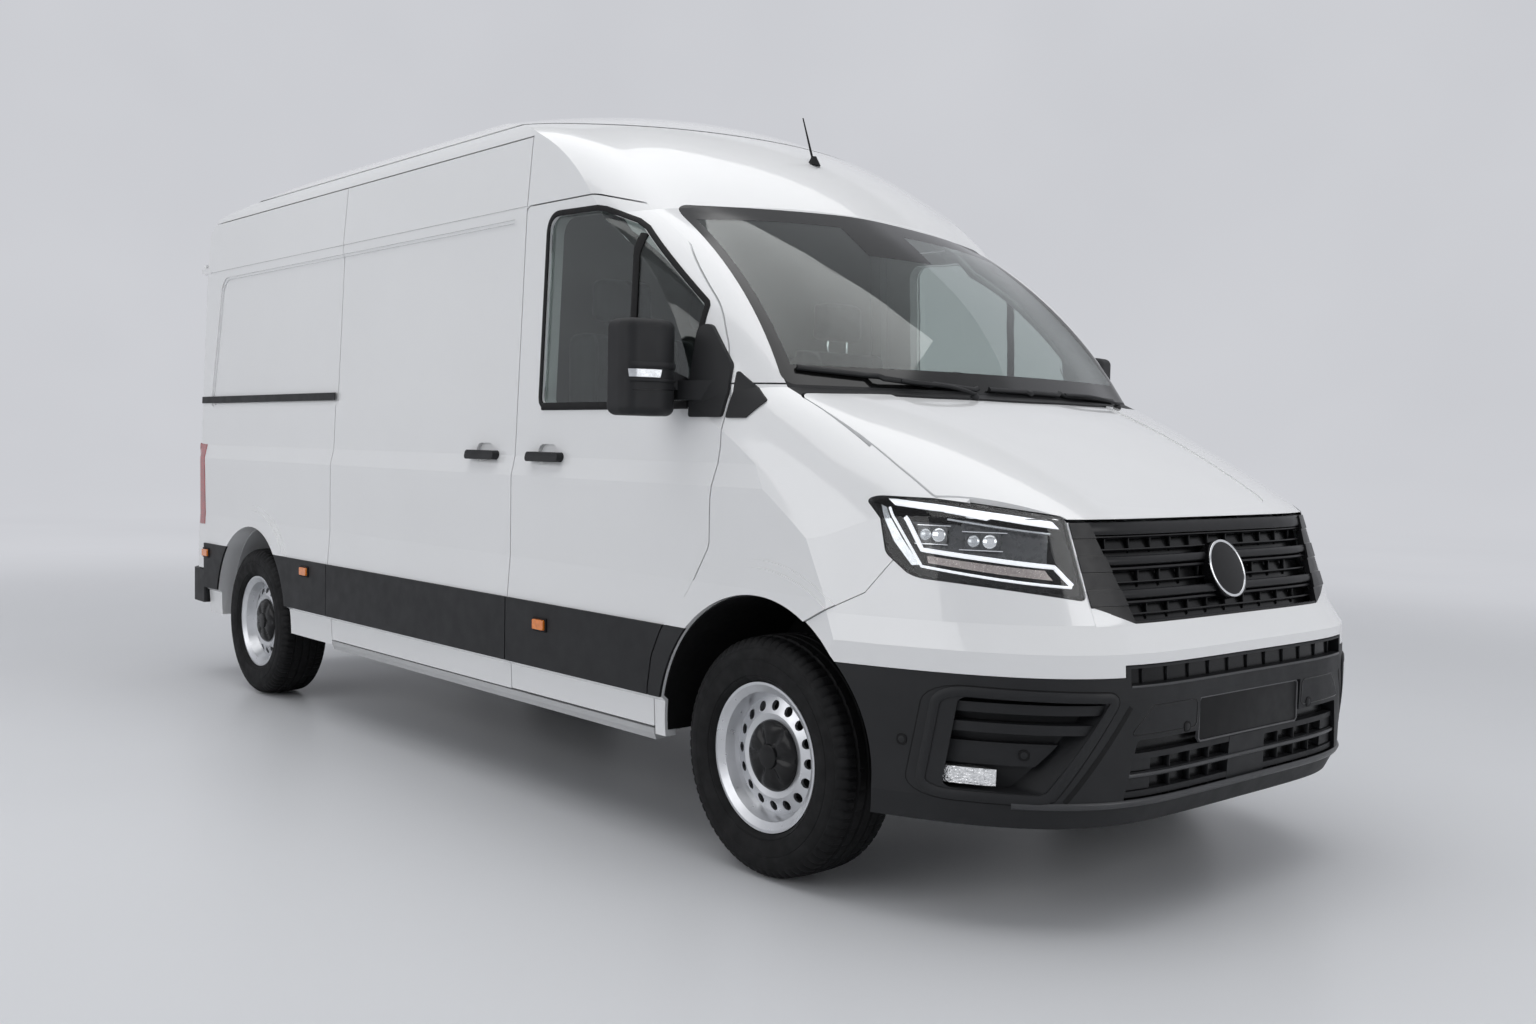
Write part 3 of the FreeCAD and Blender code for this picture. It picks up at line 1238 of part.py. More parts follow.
def make_mirrors():
    """Left mirror: a pad on the door corner, an arm and a tall rounded housing."""
    pad = form(-9).common(side_prism(sail_outline, 700, FAR, (10, 30, 30, 10))).cut(form(0))
    pad = biggest(pad)
    centre_x = DOOR_FRONT - 212
    centre_y = size("mirror_reach") - 96
    low = BELT - 42
    housing = top_prism([
        (centre_x - 62, centre_y - 96), (centre_x + 46, centre_y - 96), (centre_x + 78, centre_y - 30),
        (centre_x + 50, centre_y + 80), (centre_x + 10, centre_y + 96), (centre_x - 62, centre_y + 96),
    ], low, low + 292, (16, 60, 120, 60, 40, 16))
    housing = housing.makeFillet(26, [edge for edge in housing.Edges if abs(
        edge.BoundBox.ZMax - edge.BoundBox.ZMin) < 1])
    arm = front_prism([
        (centre_y - 70, low + 104), (centre_y - 70, low + 146),
        (HALF_WIDTH - 50, low + 120), (HALF_WIDTH - 50, low + 58),
    ], centre_x - 10, centre_x + 34, (0,))
    arm = arm.common(box_between((0, 900, 0), (FRONT_X, FAR + 200, 3000)))
    foot = top_prism([
        (centre_x - 10, HALF_WIDTH - 10), (centre_x + 34, HALF_WIDTH - 10),
        (centre_x + 150, HALF_WIDTH - 60), (centre_x + 60, HALF_WIDTH - 60),
    ], low + 52, low + 112, (0,))
    whole = housing.fuse([arm.cut(form(0)), foot.cut(form(0)), pad])
    whole = biggest(whole)
    for side, sign in SIDES:
        keep("mirror_" + side, for_side(whole, sign))


def handle_shape(middle_x):
    """A pull handle bridged over the skin at its two ends, on the left side."""
    height = size("handle_height")
    grip = side_prism([(middle_x - 104, height - 17), (middle_x - 104, height + 17),
                       (middle_x + 104, height + 17), (middle_x + 104, height - 17)], 700, FAR, (17,))
    outer = form(-28).common(grip)
    hollow = box_between((middle_x - 70, 700, height - 30), (middle_x + 70, FAR, height + 30))
    return outer.cut(form(-14).common(hollow)).cut(form(0))


def antenna_foot():
    line = Part.makeLine(Vector(ANTENNA_X, 0, 1800), Vector(ANTENNA_X, 0, 3000))
    inside_part = line.common(form(0))
    return inside_part.BoundBox.ZMax - 6


def make_wipers():
    blades = []
    for low, high, rise in ((-560, 30, 30), (90, 700, 40)):
        ways = [low + (high - low) * step / 6 for step in range(7)]
        front_edge = []
        rear_edge = []
        for step, y in enumerate(ways):
            base = COWL_X - screen_sweep(y, 150) - 8 - rise * step / 6
            front_edge.append((base, y))
            rear_edge.append((base - 22, y))
        strip = top_prism(front_edge + rear_edge[::-1], 1380, 1600)
        blades.append(biggest(layer(-14, 0, strip)))
    keep("wipers", Part.makeCompound(blades))


def make_cab():
    low = block("337", "1640", "270", "b_seam + 891", "-820", "1010", "dash_low")
    high = block("400", "1740", "110", "b_seam + 828", "-870", "1270", "dash_high")
    tilt = Rotation(Vector(0, 1, 0), 90 + size("steering_tilt"))
    hub = Vector(B_SEAM + 690, size("driver_y"), size("steering_height"))
    away = tilt.multVec(Vector(0, 0, 1))
    shroud = Part.makeCylinder(46, 260, hub + away * 92, away)
    bore = Part.makeCylinder(22 + SEAT, 170, hub + away * 90, away)
    shroud_part = doc.addObject("Part::Feature", "column_shroud")
    shroud_part.Shape = shroud
    bore_part = doc.addObject("Part::Feature", "column_bore")
    bore_part.Shape = bore
    cut_from("dashboard", fused("dash_and_shroud", [low, high, shroud_part], own=False), bore_part)
    seat_z = "cab_floor_top"
    for name, low_y, width in (("seat_driver", "driver_y - 255", "510"),
                               ("seat_bench", "-driver_y - 370", "920")):
        base = block("420", width + " - 60", "260", "b_seam + 190", low_y + " + 30", seat_z, "seat_base")
        cushion = block("520", width, "150", "b_seam + 170", low_y, seat_z + " + 260", "cushion")
        back = block("150", width, "640", "b_seam + 70", low_y, seat_z + " + 340", "backrest")
        rests = []
        seats = ("0",) if name == "seat_driver" else ("225", "-225")
        for seat in seats:
            centre = "%s + (%s) / 2 + %s" % (low_y, width, seat)
            rests.append(block("90", "260", "200", "b_seam + 90", centre + " - 130",
                               seat_z + " + 970", "headrest"))
        fused(name, [base, cushion, back] + rests)
    ring = doc.addObject("Part::Torus", "rim_ring")
    bind(ring, Radius1=named("steering_wheel_diameter / 2 - steering_grip / 2"),
         Radius2=named("steering_grip / 2"))
    boss = bar("68", "52", "0", "0", "0", "Z", "boss")
    spoke = block("steering_wheel_diameter - steering_grip", "40", "16",
                  "-(steering_wheel_diameter - steering_grip) / 2", "-20", "8", "spoke")
    post = bar("22", "200", "0", "0", "40", "Z", "post")
    wheel = fused("steering_wheel", [ring, boss, post, spoke])
    spin = Rotation(Vector(0, 0, 1), 90)
    wheel.Placement = Placement(Vector(), tilt.multiply(spin))
    bind(wheel, Placement__Base__x=named("b_seam + 690"), Placement__Base__y=named("driver_y"),
         Placement__Base__z=named("steering_height"))


make_body_panels()
make_doors()
make_wheels()
make_running_gear()
make_structure()
make_trim()
make_cab()
doc.recompute()
for target in doc.Objects:
    if "Invalid" in target.State or "Error" in target.State:
        raise RuntimeError("%s could not be worked out" % target.Label)

for name, feature in NODES.items():
    shape = feature.Shape
    if shape.isNull() or not shape.isValid():
        raise RuntimeError("sub-part %s is not a valid shape" % name)
    shape.exportStep("parts/%s.step" % name)
    box = shape.optimalBoundingBox(False, False)
    print(name, len(shape.Solids), round(shape.Volume / 1e6, 2), [round(v) for v in (
        box.XMin, box.YMin, box.ZMin, box.XMax, box.YMax, box.ZMax)])
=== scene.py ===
import math

import bmesh
import bpy
from mathutils import Matrix, Vector
from mathutils.bvhtree import BVHTree


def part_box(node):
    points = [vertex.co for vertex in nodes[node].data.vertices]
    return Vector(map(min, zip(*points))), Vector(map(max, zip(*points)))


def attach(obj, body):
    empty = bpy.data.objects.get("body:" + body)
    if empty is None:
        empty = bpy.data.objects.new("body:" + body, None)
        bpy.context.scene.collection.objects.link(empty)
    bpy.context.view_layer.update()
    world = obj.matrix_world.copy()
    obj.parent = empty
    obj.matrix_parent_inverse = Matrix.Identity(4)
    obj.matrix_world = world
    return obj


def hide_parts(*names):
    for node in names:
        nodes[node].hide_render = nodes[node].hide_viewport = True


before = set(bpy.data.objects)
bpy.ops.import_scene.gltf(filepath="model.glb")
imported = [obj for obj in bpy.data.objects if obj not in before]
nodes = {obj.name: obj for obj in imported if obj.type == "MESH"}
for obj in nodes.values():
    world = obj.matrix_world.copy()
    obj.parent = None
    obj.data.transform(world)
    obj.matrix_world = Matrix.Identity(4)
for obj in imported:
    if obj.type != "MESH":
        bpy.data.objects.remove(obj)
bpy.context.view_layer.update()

# Places that repeat sizes of the CAD model, in metres
FRONT_X = 2.840
REAR_X = -2.840
AXLE_X = {"front": 1.840, "rear": -1.940}
HALF_TRACK = {"front": 0.870, "rear": 0.875}
WHEEL_Z = 0.356
B_SEAM = 0.469
BELT = 1.392
GUTTER = 2.108
DOOR_FRONT = 1.637
SIDES = (("left", 1), ("right", -1))


# Materials

class Surface:
    """A material in the making: its node tree, its principled shader, and short ways to add to both."""

    def __init__(self, name, settings):
        self.material = bpy.data.materials.new(name)
        self.material.use_nodes = True
        self.tree = self.material.node_tree
        self.shader = self.tree.nodes["Principled BSDF"]
        for socket, value in settings.items():
            self.shader.inputs[socket].default_value = value

    def link(self, source, socket):
        self.tree.links.new(source, socket)

    def feed(self, socket, source):
        self.link(source, self.shader.inputs[socket])

    def node(self, kind, **values):
        """Adds a node. A value goes to the input of its name, or else to the node's own setting."""
        made = self.tree.nodes.new("ShaderNode" + kind)
        for key, value in values.items():
            if key in made.inputs:
                made.inputs[key].default_value = value
            else:
                setattr(made, key, value)
        return made

    def coordinates(self):
        return self.node("TexCoord").outputs["Object"]

    def noise(self, scale, detail=3.0):
        """Noise over the object's own coordinates, in features per metre."""
        made = self.node("TexNoise", Scale=scale, Detail=detail)
        self.link(self.coordinates(), made.inputs["Vector"])
        return made.outputs["Fac"]

    def ramp(self, source, low, high, ends=(0.3, 0.7)):
        made = self.node("ValToRGB")
        for element, place, colour in zip(made.color_ramp.elements, ends, (low, high)):
            element.position = place
            element.color = colour
        self.link(source, made.inputs["Fac"])
        return made.outputs["Color"]

    def calculate(self, operation, first, second):
        made = self.node("Math", operation=operation)
        for socket, value in zip(made.inputs, (first, second)):
            if isinstance(value, float):
                socket.default_value = value
            else:
                self.link(value, socket)
        return made.outputs[0]

    def bump(self, source, strength, depth):
        made = self.node("Bump", Strength=strength, Distance=depth)
        self.link(source, made.inputs["Height"])
        self.feed("Normal", made.outputs["Normal"])

    def lay_over(self, other, share):
        """Shows another shader where the share is 1, and the material's own one where it is 0."""
        mix = self.node("MixShader")
        self.link(share, mix.inputs["Fac"])
        self.link(self.shader.outputs[0], mix.inputs[1])
        self.link(other.outputs[0], mix.inputs[2])
        self.link(mix.outputs[0], self.tree.nodes["Material Output"].inputs["Surface"])


def shade(colour, factor=1.0):
    return tuple(min(1.0, channel * factor) for channel in colour) + (1.0,)


def grey(value):
    return (value, value, value * 1.01, 1.0)


def finish_of(name, colour, roughness, variation, scale, grain=None, metallic=0.0, coat=0.0,
              coat_roughness=0.03, rough_spread=0.05, specular=0.5):
    """A finish whose colour and roughness wander a little over scale features per metre.

    The surface grain is given as its features per metre, its depth and its strength.
    """
    surface = Surface(name, {"Metallic": metallic, "Coat Weight": coat, "Coat Roughness": coat_roughness,
                             "Specular IOR Level": specular})
    surface.feed("Base Color", surface.ramp(surface.noise(scale), shade(colour, 1 - variation),
                                            shade(colour, 1 + variation)))
    surface.feed("Roughness", surface.ramp(
        surface.noise(scale * 3.1), grey(max(0.02, roughness - rough_spread)),
        grey(roughness + rough_spread)))
    if grain:
        features, depth, strength = grain
        surface.bump(surface.noise(features, 2.0), strength, depth)
    return surface.material


def glass(name, colour, ior=1.45):
    surface = Surface(name, {"Transmission Weight": 1.0, "IOR": ior, "Roughness": 0.0})
    surface.feed("Base Color", surface.ramp(surface.noise(0.8), shade(colour, 0.97), shade(colour)))
    return surface


def glow(name, colour, strength):
    surface = Surface(name, {"Roughness": 0.2, "Emission Strength": strength})
    tint = surface.ramp(surface.noise(40.0), shade(colour, 0.95), shade(colour))
    surface.feed("Base Color", tint)
    surface.feed("Emission Color", tint)
    return surface.material


def weave(name, colour):
    """Woven seat cloth: crossed waves for the threads under a soft mottle."""
    surface = Surface(name, {"Roughness": 0.9, "Sheen Weight": 0.3})
    source = surface.coordinates()
    threads = []
    for axis in ("X", "Z"):
        wave = surface.node("TexWave", Scale=260.0, Distortion=1.5, bands_direction=axis)
        surface.link(source, wave.inputs["Vector"])
        threads.append(wave.outputs["Fac"])
    surface.feed("Base Color", surface.ramp(surface.noise(14.0), shade(colour, 0.9), shade(colour, 1.1),
                                            (0.35, 0.65)))
    surface.bump(surface.calculate("MAXIMUM", *threads), 0.3, 0.0006)
    return surface.material


# The windscreen's printed border: half width at a height, lean of its sides, foot, head and how the
# head drops outwards, and the plate in the middle of the head
BORDER_HALF, BORDER_AT, BORDER_LEAN = 0.818, 1.45, 0.122
BORDER_FOOT, BORDER_HEAD, BORDER_DROP = 1.512, 2.042, 0.06
BORDER_PLATE_HALF, BORDER_PLATE_FOOT = 0.16, 1.93


def screen_glass():
    """Windscreen glass with the black printed border that hides its bonded edge."""
    surface = glass("windscreen_glass", (0.70, 0.76, 0.74))
    calculate = surface.calculate
    split = surface.node("SeparateXYZ")
    surface.link(surface.coordinates(), split.inputs[0])
    height = split.outputs["Z"]
    across = calculate("ABSOLUTE", split.outputs["Y"], 0.0)
    lean = calculate("MULTIPLY", calculate("SUBTRACT", height, BORDER_AT), BORDER_LEAN)
    side = calculate("GREATER_THAN", calculate("ADD", across, lean), BORDER_HALF)
    low = calculate("LESS_THAN", height, BORDER_FOOT)
    drop = calculate("MULTIPLY", calculate("MULTIPLY", across, across), BORDER_DROP)
    high = calculate("GREATER_THAN", calculate("ADD", height, drop), BORDER_HEAD)
    border = calculate("MAXIMUM", side, calculate("MAXIMUM", low, high))
    middle_plate = calculate("MULTIPLY", calculate("LESS_THAN", across, BORDER_PLATE_HALF),
                             calculate("GREATER_THAN", height, BORDER_PLATE_FOOT))
    border = calculate("MAXIMUM", border, middle_plate)
    dark = surface.node("BsdfPrincipled", Roughness=0.12)
    surface.link(surface.ramp(surface.noise(30.0), grey(0.006), grey(0.009)), dark.inputs["Base Color"])
    surface.lay_over(dark, border)
    return surface.material


PAINT = finish_of("white_enamel", (0.86, 0.865, 0.87), 0.22, 0.012, 1.2, (900.0, 0.00002, 0.06), coat=0.9,
                  coat_roughness=0.04, rough_spread=0.02)
DARK = finish_of("dark_grained_plastic", (0.016, 0.0165, 0.018), 0.52, 0.12, 5.0, (2600.0, 0.0002, 0.25),
                 specular=0.28)
BLACK = finish_of("black_gloss_plastic", (0.005, 0.005, 0.0055), 0.24, 0.1, 8.0, (700.0, 0.00005, 0.1),
                  rough_spread=0.03, specular=0.25)
SOFT_BLACK = finish_of("black_rubber_trim", (0.007, 0.007, 0.0075), 0.6, 0.15, 20.0, (1800.0, 0.0001, 0.2),
                       specular=0.2)
GRILLE_GREY = finish_of("grille_satin_black", (0.007, 0.007, 0.008), 0.34, 0.1, 9.0, (900.0, 0.0001, 0.15),
                        specular=0.28)
PLATE_DARK = finish_of("blank_plate_black", (0.005, 0.005, 0.0055), 0.42, 0.1, 7.0, (500.0, 0.00005, 0.1),
                       specular=0.2)
# Lighter grey than the dark plastic: a painted highlight along the slit's ledge, the slat edge and the
# bumper's lip
EDGE_HIGHLIGHT_GREY = finish_of("worn_edge_plastic", (0.042, 0.043, 0.046), 0.36, 0.12, 9.0, (1800.0, 0.0001, 0.15))
RIM_GREY = finish_of("plate_rim_grey", (0.10, 0.10, 0.105), 0.40, 0.08, 30.0, (900.0, 0.0001, 0.1))
RUBBER = finish_of("tyre_rubber", (0.0075, 0.0075, 0.008), 0.70, 0.25, 9.0, (1500.0, 0.0004, 0.35),
                   rough_spread=0.1, specular=0.22)
SILVER = finish_of("silver_wheel_lacquer", (0.60, 0.61, 0.63), 0.32, 0.06, 14.0, (1300.0, 0.00004, 0.15),
                   metallic=0.85, coat=0.3)
CHROME = finish_of("bright_metal", (0.82, 0.83, 0.84), 0.08, 0.03, 12.0, metallic=1.0, rough_spread=0.03)
CAST = finish_of("coated_steel", (0.045, 0.045, 0.046), 0.55, 0.3, 12.0, (400.0, 0.0005, 0.3), metallic=0.4)
ALLOY = finish_of("cast_alloy", (0.35, 0.35, 0.35), 0.45, 0.12, 10.0, (300.0, 0.0006, 0.35), metallic=0.8)
EXHAUST = finish_of("dull_steel", (0.36, 0.33, 0.30), 0.42, 0.18, 6.0, (200.0, 0.0003, 0.2), metallic=0.9)
PRIMER = finish_of("painted_steel", (0.50, 0.505, 0.51), 0.42, 0.05, 4.0, (300.0, 0.0002, 0.1), coat=0.2)
CHASSIS = finish_of("black_chassis_paint", (0.035, 0.035, 0.036), 0.5, 0.25, 7.0, (250.0, 0.0004, 0.2))
CABIN = finish_of("cab_plastic", (0.040, 0.041, 0.044), 0.62, 0.1, 8.0, (1600.0, 0.0003, 0.3))
HEADLINER = finish_of("pale_headliner", (0.20, 0.20, 0.20), 0.85, 0.05, 3.0, (900.0, 0.0002, 0.1))
RED = finish_of("red_lens", (0.36, 0.008, 0.010), 0.08, 0.2, 30.0, coat=1.0, rough_spread=0.02)
AMBER = finish_of("amber_lens", (0.85, 0.22, 0.01), 0.15, 0.15, 60.0, coat=1.0, rough_spread=0.02)
MIRROR = finish_of("mirror_glass", (0.75, 0.77, 0.78), 0.02, 0.02, 5.0, metallic=1.0, rough_spread=0.01)
LAMP_GREY = finish_of("lamp_bezel_grey", (0.055, 0.058, 0.062), 0.28, 0.12, 14.0, coat=0.5)
PALE_REFLECTOR = finish_of("pale_reflector", (0.62, 0.64, 0.66), 0.16, 0.10, 60.0, (500.0, 0.0004, 0.5),
                           metallic=0.75)
RIBBED = finish_of("ribbed_reflector", (0.42, 0.37, 0.35), 0.22, 0.16, 90.0, (900.0, 0.0008, 0.8),
                   metallic=0.6, rough_spread=0.08)
FOG_REFLECTOR = finish_of("faceted_reflector", (0.80, 0.81, 0.82), 0.12, 0.25, 70.0, (160.0, 0.004, 0.9),
                          metallic=0.9, rough_spread=0.06)
LIGHT_GUIDE = glow("white_light_guide", (0.95, 0.97, 1.0), 0.55)
WINDOW = glass("tinted_glass", (0.62, 0.68, 0.66)).material
CLEAR = glass("clear_lens", (0.97, 0.98, 0.985), 1.3).material
SCREEN = screen_glass()
CLOTH = weave("woven_seat_cloth", (0.045, 0.046, 0.050))
SEAM_CLOTH = weave("seam_cord_cloth", (0.085, 0.086, 0.090))


def dress(finish, *names):
    """Gives CAD nodes their finish."""
    for name in names:
        for slot in nodes[name].material_slots:
            slot.material = finish


dress(PAINT, "roof", "side_left", "quarter_right", "sliding_door", "fender_left", "fender_right", "bonnet",
      "bumper_upper", "door_front_left", "door_front_right", "rear_door_left", "rear_door_right")
dress(DARK, "cowl", "bumper_lower", "body_trim", "door_trim_left", "door_trim_right", "rear_bumper",
      "mirror_left", "mirror_right")
dress(SOFT_BLACK, "wheel_liners", "wipers", "antenna", "fuel_tank")
dress(BLACK, "grille", "headlamps")
dress(SCREEN, "windscreen")
dress(WINDOW, "door_glass_left", "door_glass_right")
dress(CLEAR, "headlamp_lenses")
dress(FOG_REFLECTOR, "fog_lamps")
dress(RED, "rear_lamps", "brake_lamp")
dress(SILVER, "rim_front_left", "rim_front_right", "rim_rear_left", "rim_rear_right")
dress(CAST, "knuckle_left", "knuckle_right", "subframe", "rear_axle")
dress(ALLOY, "engine")
dress(EXHAUST, "exhaust")
dress(PRIMER, "floor", "side_frames", "front_frame")
dress(HEADLINER, "partition")
dress(CHASSIS, "chassis")
dress(CABIN, "dashboard", "steering_wheel")
dress(CLOTH, "seat_driver", "seat_bench")


# Mesh helpers

def sharpen(piece, degrees):
    """Smooth shading that keeps edges sharper than an angle."""
    mesh = piece.data
    work = bmesh.new()
    work.from_mesh(mesh)
    bmesh.ops.recalc_face_normals(work, faces=work.faces)
    limit = math.radians(degrees)
    for edge in work.edges:
        edge.smooth = len(edge.link_faces) == 2 and edge.calc_face_angle(0) < limit
    work.to_mesh(mesh)
    work.free()
    return piece


def piece_of(mesh, finish):
    made = bpy.data.objects.new(mesh.name, mesh)
    bpy.context.scene.collection.objects.link(made)
    mesh.materials.append(finish)
    for polygon in mesh.polygons:
        polygon.use_smooth = True
    return made


def piece_from(name, verts, faces, finish):
    mesh = bpy.data.meshes.new(name)
    mesh.from_pydata([tuple(vert) for vert in verts], [], faces)
    mesh.validate()
    return piece_of(mesh, finish)


def faces_between(rows, count, around=True, closed=False):
    """Faces between rows of points. Around joins a row's two ends, closed the last row to the first."""
    faces = []
    for row in range(rows if closed else rows - 1):
        here = row * count
        there = (row + 1) % rows * count
        for index in range(count if around else count - 1):
            beside = (index + 1) % count
            faces.append((here + index, here + beside, there + beside, there + index))
    return faces


def on_circle(step, steps, radius=1.0):
    turn = 2 * math.pi * step / steps
    return radius * math.cos(turn), radius * math.sin(turn)


def turned(name, centre, segments, count, point_at, finish, around, degrees):
    """Turns a section about the Y axis through a centre; point_at gives a point's radius and place in Y."""
    verts = []
    for step in range(segments):
        for index in range(count):
            radius, along = point_at(index, step)
            x, z = on_circle(step, segments, radius)
            verts.append((centre[0] + x, centre[1] + along, centre[2] + z))
    faces = faces_between(segments, count, around, True)
    return sharpen(piece_from(name, verts, faces, finish), degrees)


def rounded_path(points, radii, step=0.012):
    """A closed plane outline with its corners rounded, as evenly spaced points."""
    count = len(points)
    path = []
    for index in range(count):
        corner = Vector(points[index])
        back = Vector(points[index - 1]) - corner
        ahead = Vector(points[(index + 1) % count]) - corner
        radius = radii[index % len(radii)]
        turn = back.angle(ahead)
        reach = min(radius / math.tan(turn / 2), 0.48 * min(back.length, ahead.length))
        start = corner + back.normalized() * reach
        end = corner + ahead.normalized() * reach
        pieces = max(1, round(reach * (math.pi - turn) / step))
        for part in range(pieces + 1):
            share = part / pieces
            path.append((1 - share) ** 2 * start + 2 * share * (1 - share) * corner + share ** 2 * end)
    dense = []
    for index, point in enumerate(path):
        following = path[(index + 1) % len(path)]
        pieces = max(1, int((following - point).length / step))
        dense += [point.lerp(following, part / pieces) for part in range(pieces)]
    return dense


def moved_outline(path, distance):
    """Moves the points of a closed outline sideways, outwards for a positive distance."""
    area = sum(a.x * b.y - b.x * a.y for a, b in zip(path, path[1:] + path[:1]))
    turn = -1 if area < 0 else 1
    moved = []
    for index, point in enumerate(path):
        way = (path[(index + 1) % len(path)] - path[index - 1]).normalized()
        moved.append(point + Vector((way.y, -way.x)) * distance * turn)
    return moved


def ribbon(name, places, width, height, finish, closed=True, sink=0.001):
    """A strip with a crowned section laid along places on a skin, each a point and a normal."""
    section = ((-0.5, -sink), (-0.5, 0.55 * height), (-0.36, 0.92 * height), (0.0, height),
               (0.36, 0.92 * height), (0.5, 0.55 * height), (0.5, -sink))
    verts = []
    count = len(places)
    row = len(section)
    for index, (place, normal) in enumerate(places):
        before = places[index - 1][0] if closed or index else place
        after = places[(index + 1) % count][0] if closed or index < count - 1 else place
        across = (after - before).normalized().cross(normal).normalized()
        verts += [place + across * width * share + normal * lift for share, lift in section]
    faces = faces_between(count, row, True, closed)
    if not closed:
        faces.append(tuple(range(row)))
        faces.append(tuple((count - 1) * row + part for part in reversed(range(row))))
    return sharpen(piece_from(name, verts, faces, finish), 50)


def block(name, low, high, radius, finish, segments=3):
    """A box with rounded edges."""
    mesh = bpy.data.meshes.new(name)
    work = bmesh.new()
    bmesh.ops.create_cube(work, size=1.0)
    size = Vector(high) - Vector(low)
    centre = (Vector(high) + Vector(low)) / 2
    for vertex in work.verts:
        vertex.co = vertex.co * size + centre
    bmesh.ops.bevel(work, geom=list(work.edges), offset=radius, segments=segments, profile=0.5,
                    affect="EDGES")
    work.to_mesh(mesh)
    work.free()
    return sharpen(piece_of(mesh, finish), 50)


def framed(place, normal):
    """A matrix that stands a flat piece, drawn in X and Y, on a place with its Z outwards."""
    outward = normal.normalized()
    across = Vector((0, 0, 1)).cross(outward).normalized()
    upright = outward.cross(across)
    return Matrix((
        (across.x, upright.x, outward.x, place.x),
        (across.y, upright.y, outward.y, place.y),
        (across.z, upright.z, outward.z, place.z),
        (0, 0, 0, 1)))


def rectangle(width, height):
    """The corners of an upright rectangle about the origin."""
    return [(-width / 2, -height / 2), (width / 2, -height / 2), (width / 2, height / 2),
            (-width / 2, height / 2)]


def plate(name, place, normal, width, height, thickness, radius, finish, sink=0.002):
    """A flat piece with rounded corners that stands on a skin."""
    outline = rounded_path(rectangle(width, height), (radius,), 0.004)
    where = framed(place, normal)
    levels = ((-sink, 0.0), (thickness * 0.7, 0.0), (thickness, min(width, height) * 0.03))
    verts = []
    count = len(outline)
    for level, pull in levels:
        shrunk = moved_outline(outline, -pull) if pull else outline
        verts += [where @ Vector((point.x, point.y, level)) for point in shrunk]
    faces = faces_between(len(levels), count)
    faces.append(tuple(reversed(range(count))))
    faces.append(tuple((len(levels) - 1) * count + index for index in range(count)))
    return sharpen(piece_from(name, verts, faces, finish), 30)


def dome(name, place, normal, radius, height, finish):
    """A round cap that stands on a place."""
    segments, rings = 28, 8
    where = framed(place, normal)
    verts = []
    for ring in range(rings):
        angle = math.pi / 2 * ring / rings
        for step in range(segments):
            x, y = on_circle(step, segments, radius * math.cos(angle))
            verts.append(where @ Vector((x, y, height * math.sin(angle))))
    verts.append(where @ Vector((0, 0, height)))
    faces = faces_between(rings, segments)
    last = (rings - 1) * segments
    for step in range(segments):
        faces.append((last + step, last + (step + 1) % segments, len(verts) - 1))
    faces.append(tuple(reversed(range(segments))))
    return sharpen(piece_from(name, verts, faces, finish), 60)


def settle(piece, body="root"):
    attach(piece, body)


# Places on the body's skin

BESIDE, BEYOND = 1.6, 3.6               # where rays start, beside the van and beyond its ends
TRIES = 12                              # how many places are tried before a point counts as missing


class Skin:
    """The outer surface of some CAD nodes, found by rays from outside."""

    def __init__(self, *names):
        verts = []
        faces = []
        for name in names:
            mesh = nodes[name].data
            first = len(verts)
            verts += [vertex.co.copy() for vertex in mesh.vertices]
            faces += [[first + index for index in polygon.vertices] for polygon in mesh.polygons]
        self.tree = BVHTree.FromPolygons(verts, faces)

    def hit(self, origin, way):
        place, normal, _, _ = self.tree.ray_cast(Vector(origin), Vector(way))
        if place is None:
            return None
        return place, -normal if normal.dot(Vector(way)) > 0 else normal

    def side(self, x, z, sign):
        return self.hit((x, sign * BESIDE, z), (0, -sign, 0))

    def front(self, y, z):
        return self.hit((BEYOND, y, z), (-1, 0, 0))

    def rear(self, y, z):
        return self.hit((-BEYOND, y, z), (1, 0, 0))


def present(spots):
    return [spot for spot in spots if spot]


def run_along(points, share):
    """A place on a run of points, each leg taking an equal share."""
    legs = len(points) - 1
    leg = min(int(share * legs), legs - 1)
    return Vector(points[leg]).lerp(Vector(points[leg + 1]), share * legs - leg)


def found(finder, point, middle):
    """The place under a point, or under the nearest one towards the middle that has any."""
    for step in range(TRIES):
        spot = finder(*point.lerp(middle, step / TRIES))
        if spot:
            return spot
    raise ValueError("nothing lies under the point")


def patch(name, upper, lower, finder, depth, thickness, finish, columns=24, rows=4):
    """A curved slab between two runs of points, sunk below a skin by a depth."""
    middle = (run_along(upper, 0.5) + run_along(lower, 0.5)) / 2
    outer = []
    inner = []
    for column in range(columns + 1):
        top = run_along(upper, column / columns)
        foot = run_along(lower, column / columns)
        for row in range(rows + 1):
            place, normal = found(finder, top.lerp(foot, row / rows), middle)
            outer.append(place - normal * depth)
            inner.append(place - normal * (depth + thickness))
    count = len(outer)
    high = rows + 1
    faces = []
    for first, second, third, fourth in faces_between(columns + 1, high, False):
        faces.append((first, second, third, fourth))
        faces.append((count + first, count + fourth, count + third, count + second))
    rim = list(range(high)) + [column * high + rows for column in range(1, columns + 1)]
    rim += [columns * high + row for row in range(rows - 1, -1, -1)]
    rim += [column * high for column in range(columns - 1, 0, -1)]
    for first, second in zip(rim, rim[1:] + rim[:1]):
        faces.append((first, count + first, count + second, second))
    return sharpen(piece_from(name, outer + inner, faces, finish), 40)


